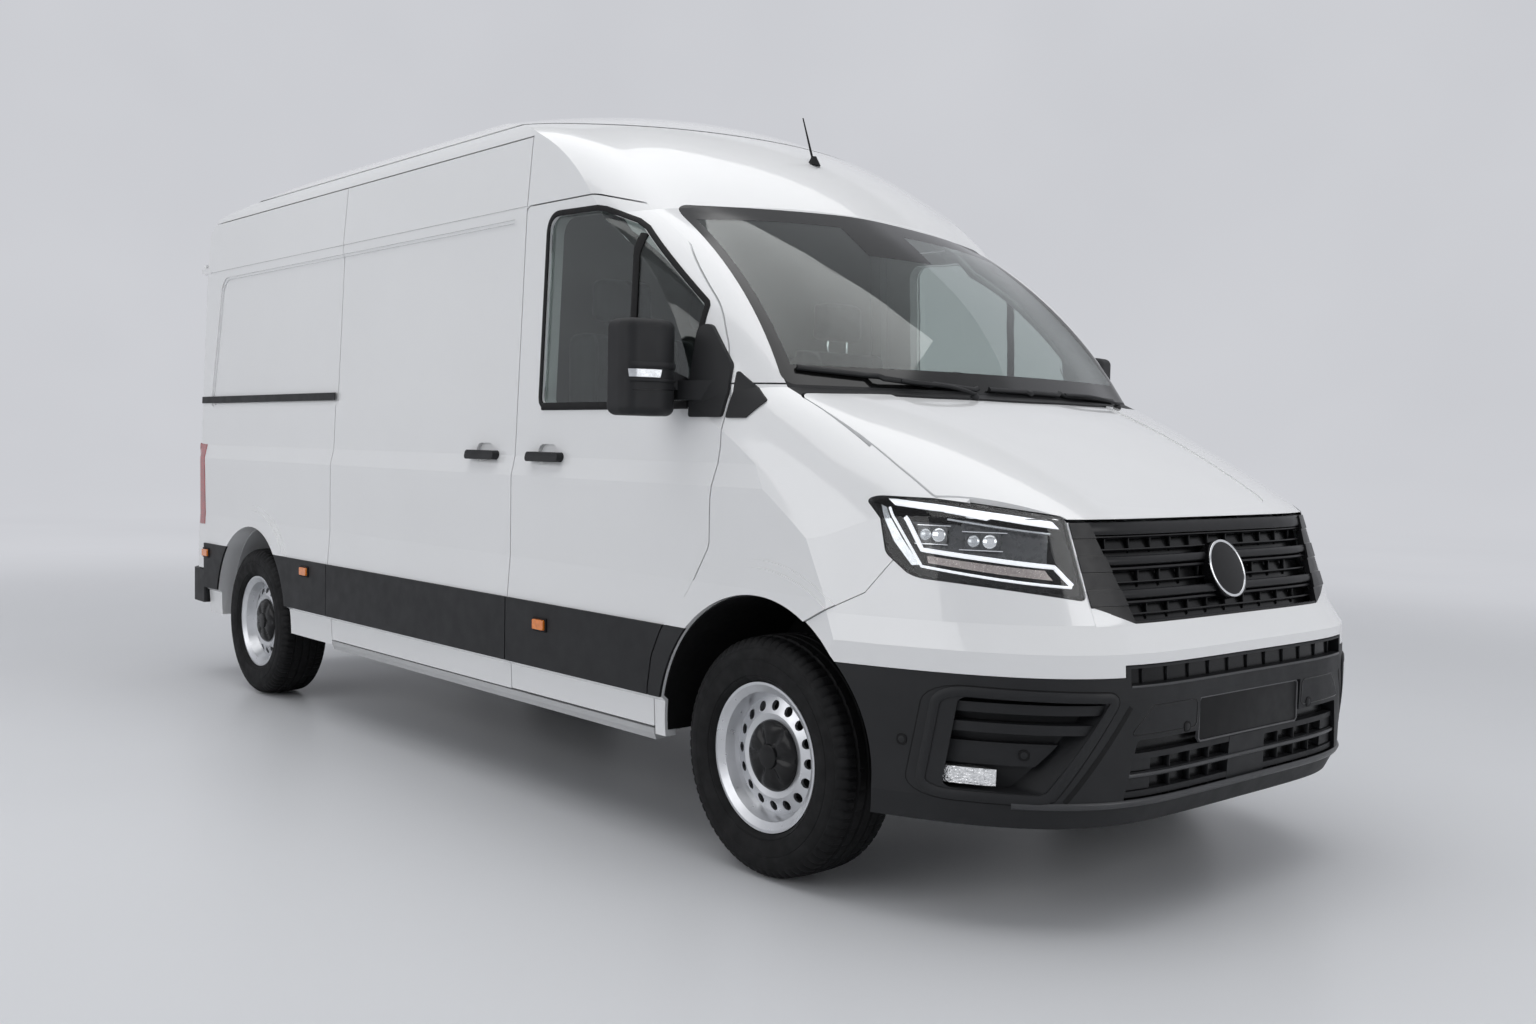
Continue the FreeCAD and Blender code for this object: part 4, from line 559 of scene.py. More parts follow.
def places_along(points, finder, depth=0.0, step=0.012):
    """Places on a skin along a run of points, moved inwards by a depth."""
    middle = sum((Vector(point) for point in points), Vector((0, 0))) / len(points)
    spots = []
    for first, second in zip(points, points[1:]):
        first, second = Vector(first), Vector(second)
        pieces = max(2, int((second - first).length / step))
        spots += [found(finder, first.lerp(second, part / pieces), middle) for part in range(pieces)]
    spots.append(found(finder, Vector(points[-1]), middle))
    return [(place - normal * depth, normal) for place, normal in spots]


def strip(name, points, finder, depth, width, height, finish, step=0.012, sink=0.001):
    """An open ribbon along a run of points, below a skin by a depth."""
    return ribbon(name, places_along(points, finder, depth, step), width, height, finish, closed=False,
                  sink=sink)


def mirror_points(points, sign):
    return [(sign * y, z) for y, z in points]


# The body's front form: how far each height falls back from the tip, and how far each width does
NOSE_LEVELS = ((0.285, 0.045), (0.355, 0.008), (0.624, 0.0), (0.744, 0.006), (0.815, 0.058), (1.088, 0.158))
NOSE_SWEEP, NOSE_POWER = 0.641, 5.2
NOSE_STEP = 0.004


def nose_back(y, z):
    level = NOSE_LEVELS[-1][1]
    for (low, low_back), (high, high_back) in zip(NOSE_LEVELS, NOSE_LEVELS[1:]):
        if z <= high:
            level = low_back + (high_back - low_back) * (max(z, low) - low) / (high - low)
            break
    return level + NOSE_SWEEP * abs(y) ** NOSE_POWER


def on_nose(y, z):
    """A place and normal on a smooth form of the front, for the pieces that reach over openings."""
    place = Vector((FRONT_X - nose_back(y, z), y, z))
    across = Vector((nose_back(y, z) - nose_back(y + NOSE_STEP, z), NOSE_STEP, 0))
    up = Vector((nose_back(y, z) - nose_back(y, z + NOSE_STEP), 0, NOSE_STEP))
    return place, across.cross(up).normalized()


def ribs(name, steps, pitch, at, low, high, depths, half, finish):
    """Thin upright ribs across the front, a pitch apart, between two depths behind the nose at a height."""
    for step in steps:
        y = step * pitch
        x = FRONT_X - nose_back(y, at)
        rib = block(f"{name}_{step + 5}", (x - depths[0], y - half, low),
                    (x - depths[1], y + half, high), 0.0004, finish, segments=1)
        settle(rib)


# Tyres and wheels

SIDEWALL = ((0.2035, 0.0880), (0.2210, 0.0880), (0.2260, 0.1000), (0.2360, 0.1085), (0.2390, 0.1080),
            (0.2420, 0.1115), (0.2660, 0.1172), (0.2860, 0.1166), (0.2875, 0.1152), (0.2900, 0.1160),
            (0.3040, 0.1142), (0.3180, 0.1120), (0.3200, 0.1104), (0.3230, 0.1108), (0.3320, 0.1065),
            (0.3400, 0.1010), (0.3455, 0.0950), (0.3490, 0.0900))
TREAD_HALF, TREAD_STEP = 0.0850, 0.0034
CROWN_RADIUS, CROWN_FALL = 0.3555, 0.0045
GROOVES, GROOVE_HALF, GROOVE_DEPTH = (-0.054, -0.019, 0.019, 0.054), 0.0040, 0.0075
PITCHES, STEPS_PER_PITCH = 72, 4
SHOULDER_Y, SHOULDER_CUT = 0.061, 0.0055
SIPE_LOW, SIPE_HIGH, SIPE_CUT = 0.025, 0.048, 0.0035
CAP_PROFILE = ((0.0, 0.082), (0.031, 0.082), (0.0355, 0.0805), (0.037, 0.0755), (0.048, 0.0765),
               (0.064, 0.0765), (0.080, 0.0745), (0.092, 0.0705), (0.101, 0.0640), (0.106, 0.0560),
               (0.107, 0.0500))
CAP_SEGMENTS, CAP_HOLLOWS, HOLLOW_DEPTH = 120, 6, 0.0065


def tyre_outline():
    """The section of a tyre: sidewall with its rings, grooved tread, and the sidewall mirrored."""
    outline = list(SIDEWALL)
    along = TREAD_HALF
    while along > -TREAD_HALF - TREAD_STEP / 10:
        crown = CROWN_RADIUS - CROWN_FALL * (abs(along) / TREAD_HALF) ** 2.4
        grooved = min(abs(along - middle) for middle in GROOVES) < GROOVE_HALF
        outline.append((crown - (GROOVE_DEPTH if grooved else 0.0), along))
        along -= TREAD_STEP
    return outline + [(radius, -y) for radius, y in reversed(SIDEWALL)]


def make_tyre(axle, side, centre):
    outline = tyre_outline()
    first = len(SIDEWALL) - 4
    last = len(outline) - first

    def point_at(index, step):
        radius, along = outline[index]
        phase = (step + (2 if along > 0 else 0)) % STEPS_PER_PITCH
        cut = 0.0
        if first <= index < last:
            if abs(along) > SHOULDER_Y:
                cut = SHOULDER_CUT if phase == 0 else 0.0
            elif SIPE_LOW < abs(along) < SIPE_HIGH and step % (2 * STEPS_PER_PITCH) < STEPS_PER_PITCH:
                cut = SIPE_CUT if phase == (1 if along > 0 else 3) else 0.0
        return radius - cut, along

    tyre = turned(f"tyre_{axle}_{side}_tread", centre, PITCHES * STEPS_PER_PITCH, len(outline),
                  point_at, RUBBER, True, 35)
    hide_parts(f"tyre_{axle}_{side}")
    settle(tyre, f"wheel_{axle}_{side}")


def make_cap(axle, side, sign, centre):
    """Black centre cap with six hollows round a bare disc."""
    def point_at(index, step):
        radius, along = CAP_PROFILE[index]
        turn = 2 * math.pi * step / CAP_SEGMENTS
        lobe = 0.5 + 0.5 * math.cos(CAP_HOLLOWS * turn)
        return radius, sign * (along - HOLLOW_DEPTH * lobe ** 3 * (0.045 < radius < 0.098))

    cap = turned(f"centre_cap_{axle}_{side}", centre, CAP_SEGMENTS, len(CAP_PROFILE), point_at, BLACK,
                 False, 50)
    settle(cap, f"wheel_{axle}_{side}")


for axle in ("front", "rear"):
    for side, sign in SIDES:
        axle_end = (AXLE_X[axle], sign * HALF_TRACK[axle], WHEEL_Z)
        make_tyre(axle, side, axle_end)
        make_cap(axle, side, sign, axle_end)


# Door windows and side markers

WINDOW_OUTLINE = ((B_SEAM + 0.160, BELT + 0.006), (B_SEAM + 0.160, GUTTER - 0.054),
                  (B_SEAM + 0.470, GUTTER - 0.064), (B_SEAM + 0.664, GUTTER - 0.130),
                  (DOOR_FRONT - 0.160, GUTTER - 0.410), (DOOR_FRONT - 0.160, BELT + 0.006))
WINDOW_RADII = (0.024, 0.060, 0.120, 0.160, 0.010, 0.010)
DIVIDER_X, DIVIDER_LOW, DIVIDER_RISE = DOOR_FRONT - 0.490, 1.402, 0.546
FOOT_SEAL_X, FOOT_SEAL_LENGTH = B_SEAM + 0.168, 0.832
TRIM_STEPS = 23
MARKERS = ((B_SEAM + 0.238, 0.628, "door"), (AXLE_X["rear"] + 0.660, 0.655, "root"),
           (REAR_X + 0.330, 0.655, "root"))


def make_window_trim(side, sign):
    """Black seals round the door window, its divider bar and the wider seal at its foot."""
    door = Skin("door_front_" + side)
    pane = Skin("door_glass_" + side)
    steps = range(TRIM_STEPS + 1)
    outline = moved_outline(rounded_path(WINDOW_OUTLINE, WINDOW_RADII), 0.009)
    seal = present(door.side(*point, sign) for point in outline)
    bar = present(pane.side(DIVIDER_X, DIVIDER_LOW + step / TRIM_STEPS * DIVIDER_RISE, sign)
                  for step in steps)
    foot = present(door.side(FOOT_SEAL_X + FOOT_SEAL_LENGTH * step / TRIM_STEPS, BELT - 0.004, sign)
                   for step in steps)
    for piece in (ribbon("window_seal_" + side, seal, 0.020, 0.004, SOFT_BLACK),
                  ribbon("window_divider_" + side, bar, 0.034, 0.006, SOFT_BLACK, closed=False),
                  ribbon("window_foot_seal_" + side, foot, 0.026, 0.007, SOFT_BLACK, closed=False)):
        settle(piece, "front_door_" + side)


def make_markers(side, sign):
    skin = Skin("side_left", "quarter_right", "sliding_door", "body_trim", "fender_left", "fender_right",
                "door_front_" + side, "door_trim_" + side, "bumper_lower")
    for index, (x, z, carrier) in enumerate(MARKERS):
        place, normal = skin.side(x, z, sign)
        body = "front_door_" + side if carrier == "door" else "root"
        settle(plate(f"marker_base_{side}_{index}", place, normal, 0.086, 0.050, 0.005, 0.008,
                     SOFT_BLACK), body)
        settle(plate(f"marker_lens_{side}_{index}", place + normal * 0.004, normal, 0.070, 0.036, 0.009,
                     0.006, AMBER), body)


for side, sign in SIDES:
    make_window_trim(side, sign)
    make_markers(side, sign)


# Headlamps, drawn as distances back from the van's tip and heights

GUIDE_DEPTH = 0.014
OUTER_GUIDE = ((0.574, 1.112), (0.4640, 0.9560), (0.300, 0.9330), (0.156, 0.9140))
INNER_GUIDE = ((0.5226, 1.088), (0.4690, 1.0000), (0.300, 0.9800), (0.192, 0.9660), (0.156, 0.9180))
BEZEL_LINE = ((0.420, 1.0840), (0.300, 1.0660), (0.216, 1.0530))
MODULES = ((0.452, 1.042, 0.082, 0.050), (0.335, 1.030, 0.096, 0.048))
MODULE_DEPTH = 0.038
EYES = ((-0.24, 0.017, PALE_REFLECTOR), (0.20, 0.020, CHROME))


def make_headlamp(side, sign):
    """Light guides, reflectors and two modules with their eyes, under the clear lens."""
    lens = Skin("headlamp_lenses")

    def on_lens(back, z):
        return lens.side(FRONT_X - back, z, sign)

    def add(piece):
        settle(piece)

    add(patch("lamp_top_guide_" + side, ((0.588, 1.136), (0.448, 1.1225), (0.300, 1.1015), (0.226, 1.0885)),
              ((0.562, 1.118), (0.440, 1.106), (0.300, 1.0830), (0.208, 1.0640)), on_lens, 0.009, 0.004,
              LIGHT_GUIDE, 48, 3))
    add(patch("lamp_corner_" + side, ((0.600, 1.118), (0.545, 1.020), (0.490, 0.958)),
              ((0.583, 1.112), (0.525, 1.030), (0.470, 0.960)), on_lens, GUIDE_DEPTH, 0.004, PALE_REFLECTOR,
              24, 3))
    add(strip("lamp_outer_guide_" + side, OUTER_GUIDE, on_lens, GUIDE_DEPTH, 0.0070, 0.004, LIGHT_GUIDE))
    add(strip("lamp_inner_guide_" + side, INNER_GUIDE, on_lens, GUIDE_DEPTH, 0.0120, 0.005, LIGHT_GUIDE))
    add(patch("lamp_strip_" + side, ((0.456, 0.9850), (0.300, 0.9680), (0.204, 0.9580)),
              ((0.450, 0.9660), (0.300, 0.9470), (0.186, 0.9330)), on_lens, 0.018, 0.003, RIBBED, 32, 2))
    add(patch("lamp_bezel_" + side, ((0.515, 1.088), (0.400, 1.0900), (0.300, 1.0740), (0.215, 1.0560)),
              ((0.466, 1.0080), (0.400, 1.0000), (0.300, 0.9880), (0.200, 0.9760)), on_lens, 0.040, 0.004,
              LAMP_GREY, 36, 4))
    add(strip("lamp_bezel_line_" + side, BEZEL_LINE, on_lens, 0.020, 0.0060, 0.004, PALE_REFLECTOR))
    for index, (back, z, width, height) in enumerate(MODULES):
        place, normal = on_lens(back, z)
        seat = place - normal * MODULE_DEPTH
        add(plate(f"lamp_module_{side}_{index}", seat, normal, width, height, 0.010, 0.010, LAMP_GREY))
        across = Vector((0, 0, 1)).cross(normal).normalized()
        for step, (shift, radius, finish) in enumerate(EYES):
            spot = seat + normal * 0.009 + across * width * shift
            add(dome(f"lamp_eye_{side}_{index}_{step}", spot, normal, radius, 0.009, finish))
        for edge, lift in (("low", -0.5), ("high", 0.5)):
            line = [(back + width * share, z + lift * height) for share in (0.5, -0.5)]
            add(strip(f"lamp_module_{edge}_{side}_{index}", line, on_lens, 0.028, 0.0035, 0.003,
                      CHROME))


# Grille: wings of stacked panels at the sides, and bars before a black backing that is painted shade

GRILLE_LOW, GRILLE_HIGH = 0.815, 1.077
WING_ROWS, WING_GAP = 6, 0.003
DISC_SHARE = 0.45                       # how far up the sloping front the disc's middle lies
NOSE_RISE, NOSE_RUN = 0.273, 0.100
RIM_RADIUS, RIM_STEPS = 0.0815, 72
BARS = (                                # name, height, width, crown, depth, half of the gap for the disc
    ("grille_top", 1.0640, 0.036, 0.010, 0.010, 0.0),
    ("grille_foot", 0.8185, 0.008, 0.008, 0.008, 0.0),
    ("grille_broad_0", 0.9790, 0.025, 0.014, 0.014, 0.070),
    ("grille_lip_0", 0.9595, 0.008, 0.008, 0.016, 0.070),
    ("grille_broad_1", 0.8920, 0.025, 0.014, 0.014, 0.070),
    ("grille_lip_1", 0.8725, 0.008, 0.008, 0.016, 0.070),
    ("grille_thin_0", 1.0110, 0.005, 0.006, 0.020, 0.0),
    ("grille_thin_1", 0.9255, 0.005, 0.006, 0.020, 0.076),
    ("grille_thin_2", 0.8435, 0.005, 0.006, 0.020, 0.0),
    ("grille_top_lip", 1.0430, 0.005, 0.006, 0.014, 0.0))
RIB_ROWS = ((0.996, 1.044), (0.906, 0.952), (0.822, 0.868))
RIB_PITCH = 0.096


def wing_inner(z):
    return 0.548 - (1.078 - z) * 0.28


def wing_outer(z):
    return 0.6065 if z > 0.862 else 0.6065 - (0.862 - z) * 2.83


def wing_run(sign, z):
    return [(sign * wing_outer(z), z), (sign * wing_inner(z), z)]


def make_wing(side, sign):
    """Six stacked panels beside the grille, with a black strip behind each gap as painted shade."""
    levels = [GRILLE_HIGH - (GRILLE_HIGH - GRILLE_LOW) * step / WING_ROWS for step in range(WING_ROWS + 1)]
    for row, (high, low) in enumerate(zip(levels, levels[1:])):
        low += WING_GAP
        tilt = 0.002 if row % 2 else -0.001
        settle(patch(f"grille_wing_{side}_{row}", wing_run(sign, high), wing_run(sign, low), on_nose,
                     -0.0035 + tilt, 0.018, GRILLE_GREY, 6, 2))
        if row < WING_ROWS - 1:
            # Black strip behind the gap: painted shade between the panels
            edge = [(y, low + 0.0005) for y, _ in wing_run(sign, low)]
            foot = [(y, low - 0.0035) for y, _ in edge]
            settle(patch(f"grille_wing_gap_{side}_{row}", edge, foot, on_nose, -0.0015, 0.012, BLACK,
                         6, 1))


def make_grille():
    """Black backing as painted shade behind the openings, three broad bars with a lip under each, thin bars
    in the gaps, upright ribs and the disc.
    """
    # A black sheet behind the bars paints the shade in the grille's openings
    back = patch("grille_backing", ((-0.606, 1.081), (0.606, 1.081)), ((-0.560, 0.814), (0.560, 0.814)),
                 on_nose, 0.038, 0.006, BLACK, 40, 8)
    settle(back)
    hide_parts("grille")
    for name, z, width, height, depth, inner in BARS:
        reach = wing_inner(z) + 0.004
        spans = ((-reach, -inner), (inner, reach)) if inner else ((-reach, reach),)
        for index, span in enumerate(spans):
            bar = strip(f"{name}_{index}", [(y, z) for y in span], on_nose, depth, width, height,
                        GRILLE_GREY, 0.03, 0.012)
            settle(bar)
            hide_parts("grille")
    for row, (low, high) in enumerate(RIB_ROWS):
        steps = [step for step in range(-5, 6) if abs(step * RIB_PITCH) <= wing_inner(low) - 0.02]
        ribs(f"grille_rib_{row}", steps, RIB_PITCH, (low + high) / 2, low - 0.003, high + 0.003,
             (0.042, 0.028), 0.0016, GRILLE_GREY)
    for side, sign in SIDES:
        corner = patch("grille_corner_" + side, mirror_points(((0.6065, 0.861), (0.474, 0.8140)), sign),
                       mirror_points(((0.6065, 0.811), (0.474, 0.811)), sign), on_nose, -0.0005, 0.030, PAINT,
                       12, 4)
        settle(corner)
    normal = Vector((NOSE_RISE, 0, NOSE_RUN)).normalized()
    disc = Vector((FRONT_X - 0.058 - NOSE_RUN * DISC_SHARE, 0, GRILLE_LOW + DISC_SHARE * NOSE_RISE))
    disc += normal * 0.008
    settle(plate("grille_disc", disc, normal, 0.170, 0.170, 0.003, 0.0849, BLACK, sink=0.030))
    where = framed(disc + normal * 0.001, normal)
    ring = [(where @ Vector((*on_circle(step, RIM_STEPS, RIM_RADIUS), 0.0)), normal)
            for step in range(RIM_STEPS)]
    settle(ribbon("grille_disc_rim", ring, 0.0075, 0.0035, CHROME))


# Lower bumper: frames, ribs, sensors, lamps and the blank plate

PLATE_PANEL = ((0.278, 0.606), (0.470, 0.606), (0.546, 0.530), (0.278, 0.530))
FOG_FRAME = ((0.590, 0.632), (0.905, 0.640), (0.922, 0.366), (0.742, 0.366))
FOG_FRAME_RADII = (0.016, 0.040, 0.040, 0.020)
SENSORS = ((0.941, 0.497, 0.0), (0.322, 0.534, 0.0), (0.735, 0.476, 0.026))     # Y, height, stands proud by
SLIT_HALF, SLIT_LOW, SLIT_HIGH = 0.546, 0.663, 0.705
INTAKE_ROWS = ((0.381, 0.411), (0.431, 0.461))
LIP_HALF, LIP_STEPS = 0.80, 60
PLATE_X = FRONT_X - 0.0145
PLATE_CORNERS = ((-0.260, 0.485), (0.260, 0.485), (0.260, 0.605), (-0.260, 0.605))


def across_front(half, z):
    return (-half, z), (half, z)


def make_bumper_side(side, sign):
    on_bumper = Skin("bumper_lower").front

    def add(piece):
        settle(piece)

    outline = rounded_path(mirror_points(FOG_FRAME, sign), FOG_FRAME_RADII, 0.010)
    add(ribbon("fog_frame_" + side, present(on_bumper(*point) for point in outline), 0.026, 0.006, DARK))
    seam = present(on_bumper(*point) for point in moved_outline(outline, 0.016))
    add(ribbon("fog_frame_seam_" + side, seam, 0.003, 0.0008, SOFT_BLACK))
    add(patch("fog_block_" + side, mirror_points(((0.884, 0.506), (0.676, 0.506)), sign),
              mirror_points(((0.888, 0.446), (0.714, 0.446)), sign), on_bumper, -0.026, 0.020, DARK, 24, 3))
    # A flat dark strip paints the shade in the groove across the bumper
    add(strip("bumper_groove_" + side, mirror_points(((0.548, 0.606), (0.706, 0.360)), sign), on_bumper, 0.0,
              0.014, 0.0012, SOFT_BLACK))
    for index, (y, z, proud) in enumerate(SENSORS):
        place, normal = on_bumper(sign * y, z)
        place = place + normal * proud
        add(plate(f"sensor_ring_{side}_{index}", place, normal, 0.030, 0.030, 0.0025, 0.0149,
                  SOFT_BLACK))
        add(dome(f"sensor_{side}_{index}", place + normal * 0.002, normal, 0.0095, 0.0018, DARK))


def make_bumper_middle():
    """The slit over the plate, the intake under it, the blank plate and the lip."""
    def add(piece):
        settle(piece)

    ribs("upper_slit_rib", range(-5, 6), 0.098, 0.684, SLIT_LOW, SLIT_HIGH, (0.030, 0.018), 0.0014, DARK)
    # The black floors behind the slit and the intake are painted shade in these openings
    add(patch("upper_slit_floor", across_front(SLIT_HALF, SLIT_HIGH), across_front(SLIT_HALF, SLIT_LOW),
              on_nose, 0.024, 0.004, BLACK, 40, 2))
    add(patch("intake_floor", across_front(0.520, 0.5150), across_front(0.558, 0.3510), on_nose, 0.035, 0.004,
              BLACK, 40, 4))
    # The ledge, the slat edge and the lip are lighter grey as a painted highlight on these edges
    add(strip("upper_slit_ledge", across_front(SLIT_HALF, 0.6585), on_nose, 0.0018, 0.007, 0.0035, EDGE_HIGHLIGHT_GREY,
              0.03))
    add(strip("intake_slat_edge", across_front(0.540, 0.4210), on_nose, 0.008, 0.010, 0.004, EDGE_HIGHLIGHT_GREY, 0.03))
    ribs("intake_rib", (-4, -3, -2, 2, 3, 4), 0.092, 0.44, 0.350, 0.476, (0.036, 0.016), 0.0015, DARK)
    add(patch("intake_block", across_front(0.092, 0.478), across_front(0.098, 0.352), on_nose, 0.009, 0.028,
              DARK, 8, 4))
    for side, sign in SIDES:
        for row, (low, high) in enumerate(INTAKE_ROWS):
            add(patch(f"intake_end_{side}_{row}", mirror_points(((0.546, high), (0.452, high)), sign),
                      mirror_points(((0.552, low), (0.452, low)), sign), on_nose, 0.016, 0.020, DARK, 8, 2))
    lip = [on_nose(-LIP_HALF + 2 * LIP_HALF * step / LIP_STEPS, 0.350) for step in range(LIP_STEPS + 1)]
    add(ribbon("bumper_lip", [(place - normal * 0.002, normal) for place, normal in lip], 0.020, 0.0085,
               EDGE_HIGHLIGHT_GREY, closed=False))
    add(block("number_plate_blank", (FRONT_X - 0.017, -0.258, 0.487), (FRONT_X - 0.009, 0.258, 0.603), 0.002,
              PLATE_DARK))
    rim = [(Vector((PLATE_X, *point)), Vector((1, 0, 0)))
           for point in rounded_path(PLATE_CORNERS, (0.008,), 0.02)]
    add(ribbon("number_plate_rim", rim, 0.0055, 0.0085, RIM_GREY))
    for side, sign in SIDES:
        panel = rounded_path(mirror_points(PLATE_PANEL, sign), (0.010,), 0.02)
        add(ribbon("plate_panel_groove_" + side, [on_nose(*point) for point in panel], 0.0045, 0.0010, BLACK))


for side, sign in SIDES:
    make_headlamp(side, sign)
    make_wing(side, sign)
    make_bumper_side(side, sign)
make_grille()
make_bumper_middle()


# Door mirrors, wipers and rear lamps

MIRROR_X, MIRROR_Y = DOOR_FRONT - 0.274, 1.117
SIGNAL = ((1.200, 1.4885), (1.150, 1.4885), (1.100, 1.4885))
SIGNAL_FOOT = ((1.198, 1.4650), (1.150, 1.4650), (1.106, 1.4650))
WIPER_RUNS = (((-0.800, 1.4985), (-0.150, 1.4500)), ((-0.100, 1.4550), (0.690, 1.4450)))
ARM_STEPS, ARM_LIFT, ARM_CROWN = 12, 0.012, 0.010
LAMP_FIELDS = ((0.40, 0.52, AMBER), (0.24, 0.36, PALE_REFLECTOR))       # shares of the lamp's height
LAMP_SIDE_FOOT = 0.800
BACKWARDS = Vector((-1, 0, 0))


def make_mirror(side, sign):
    """Signal strip, ridges and seam on a mirror's front, and two panes in a frame on its back."""
    on_housing = Skin("mirror_" + side).front
    body = "front_door_" + side
    settle(patch("mirror_signal_" + side, mirror_points(SIGNAL, sign), mirror_points(SIGNAL_FOOT, sign),
                 on_housing, -0.0020, 0.006, PALE_REFLECTOR, 24, 3), body)
    for index, (z, width) in enumerate(((1.5010, 0.020), (1.4560, 0.010))):
        settle(strip(f"mirror_ridge_{side}_{index}", mirror_points(((1.034, z), (1.196, z)), sign),
                     on_housing, 0.0, width, 0.0045, DARK), body)
    settle(strip("mirror_seam_" + side, mirror_points(((1.030, 1.430), (1.190, 1.426)), sign), on_housing,
                 0.0, 0.0025, 0.0006, BLACK), body)
    settle(plate("mirror_frame_" + side, Vector((MIRROR_X, sign * MIRROR_Y, 1.496)), BACKWARDS, 0.168, 0.244,
                 0.0018, 0.022, SOFT_BLACK), body)
    for index, (z, height) in enumerate(((1.5290, 0.164), (1.4090, 0.058))):
        place = Vector((MIRROR_X - 0.0012, sign * MIRROR_Y, z))
        settle(plate(f"mirror_pane_{side}_{index}", place, BACKWARDS, 0.152, height, 0.0022, 0.014,
                     MIRROR), body)


def make_wipers():
    """Two blades at the foot of the windscreen, each on an arm from the cowl."""
    screen = Skin("windscreen", "cowl", "bonnet", "wipers")

    def on_screen(y, z):
        """The nearest skin at or above a height: the glass stops a little over the cowl."""
        spots = present(screen.front(y, z + 0.008 * step) for step in range(TRIES))
        return spots[0] if spots else None

    for index, (outer, inner) in enumerate(WIPER_RUNS):
        blade_run = places_along((outer, inner), on_screen, step=0.02)
        proud = [(place + normal * 0.009, normal) for place, normal in blade_run]
        tip, tip_normal = blade_run[len(blade_run) // 2]
        foot, foot_normal = on_screen(inner[0] - 0.060, inner[1] - 0.020)
        run = []
        for step in range(ARM_STEPS + 1):
            share = step / ARM_STEPS
            normal = foot_normal.lerp(tip_normal, share).normalized()
            lift = ARM_LIFT + ARM_CROWN * math.sin(math.pi * share)
            run.append((foot.lerp(tip, share) + normal * lift, normal))
        for piece in (
                ribbon(f"wiper_blade_{index}", blade_run, 0.008, 0.010, SOFT_BLACK, closed=False),
                ribbon(f"wiper_spoiler_{index}", proud, 0.017, 0.006, DARK, closed=False, sink=0.002),
                ribbon(f"wiper_arm_{index}", run, 0.013, 0.006, DARK, closed=False, sink=0.002),
                dome(f"wiper_pivot_{index}", foot - foot_normal * 0.002, foot_normal, 0.015, 0.018, DARK)):
            settle(piece)
            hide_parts("wipers")


def make_rear_lamps(side, sign):
    """Clear and amber fields in a tall red lamp, its side and the lines across it."""
    lamp = Skin("rear_lamps")
    low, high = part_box("rear_lamps")
    height = high[2] - low[2]
    edge = high[1]
    for index, (low_share, high_share, finish) in enumerate(LAMP_FIELDS):
        foot, head = [[(sign * (edge - inset), low[2] + share * height) for inset in (0.070, 0.022)]
                      for share in (low_share, high_share)]
        settle(patch(f"rear_lamp_field_{side}_{index}", head, foot, lamp.rear, -0.0022, 0.006, finish,
                     8, 8))
    corner = Skin("rear_lamps", "side_left", "quarter_right")

    def on_corner(x, z):
        return corner.side(x, z, sign)

    wrap = (REAR_X + 0.245, high[2] - 0.006), (REAR_X + 0.150, high[2] - 0.003)
    wrap_foot = (REAR_X + 0.265, LAMP_SIDE_FOOT), (REAR_X + 0.150, LAMP_SIDE_FOOT)
    settle(patch("rear_lamp_side_" + side, wrap, wrap_foot, on_corner, -0.0025, 0.006, RED, 8, 24))
    for index in range(1, 8):
        z = low[2] + height * index / 8
        line = [(sign * (edge - inset), z) for inset in (0.073, 0.010)]
        settle(strip(f"rear_lamp_line_{side}_{index}", line, lamp.rear, 0.0, 0.003, 0.0012, SOFT_BLACK))


def make_rear_handle():
    """Pull handle on the rear leaf that opens first, and a blank plate with its lamps on the other."""
    place, normal = Skin("rear_door_right").rear(-0.170, 1.130)
    settle(plate("rear_handle_seat", place, normal, 0.190, 0.080, 0.004, 0.020, SOFT_BLACK),
           "rear_leaf_right")
    settle(plate("rear_handle_grip", place + normal * 0.003, normal, 0.160, 0.030, 0.020, 0.014, DARK),
           "rear_leaf_right")
    leaf = Skin("rear_door_left")
    place, normal = leaf.rear(0.400, 0.780)
    settle(plate("rear_plate_blank", place, normal, 0.520, 0.115, 0.005, 0.006, PLATE_DARK),
           "rear_leaf_left")
    for name, shift in (("a", -0.12), ("b", 0.12)):
        place, normal = leaf.rear(0.400 + shift, 0.868)
        settle(plate("rear_plate_lamp_" + name, place, normal, 0.070, 0.022, 0.010, 0.006, SOFT_BLACK),
               "rear_leaf_left")


for side, sign in SIDES:
    make_mirror(side, sign)
    make_rear_lamps(side, sign)
make_rear_handle()
make_wipers()


# Seats: padded covers blown up by cloth simulation, on moulded plinths

BACK_X = (B_SEAM + 0.078, B_SEAM + 0.212)
CUSHION_X = (B_SEAM + 0.186, B_SEAM + 0.682)
SEATS = (("seat_driver", 0.225, 0.735, (0.480,)), ("seat_bench", -0.850, 0.070, (-0.165, -0.615)))
CUSHION_CHANNELS = (CUSHION_X[0] + 0.12, CUSHION_X[0] + 0.25, CUSHION_X[0] + 0.38)
BACK_CHANNELS = (1.20, 1.33, 1.46, 1.58)
PANEL_HALF = 0.150
PANEL_PRESS, SEAM_PRESS, CHANNEL_PRESS, GAP_PRESS = 0.008, 0.009, 0.008, 0.024
FACING = 0.35                           # a pad's points that face less than this way aren't pressed
INSET = 0.014
VOXEL, HEADREST_VOXEL = 0.012, 0.008
BLOWN_FRAMES, BLOWN_CAP = 20, 0.011
STITCHES = 40


def applied(piece):
    """Writes a piece's modifiers into its mesh."""
    shaped = bpy.data.meshes.new_from_object(piece.evaluated_get(bpy.context.evaluated_depsgraph_get()))
    piece.modifiers.clear()
    piece.data = shaped
    return piece


def pad_form(name, low, high, radius, voxel):
    pad = block(name, low, high, radius, CLOTH, segments=4)
    remesh = pad.modifiers.new("skin", "REMESH")
    remesh.mode = "VOXEL"
    remesh.voxel_size = voxel
    return applied(pad)


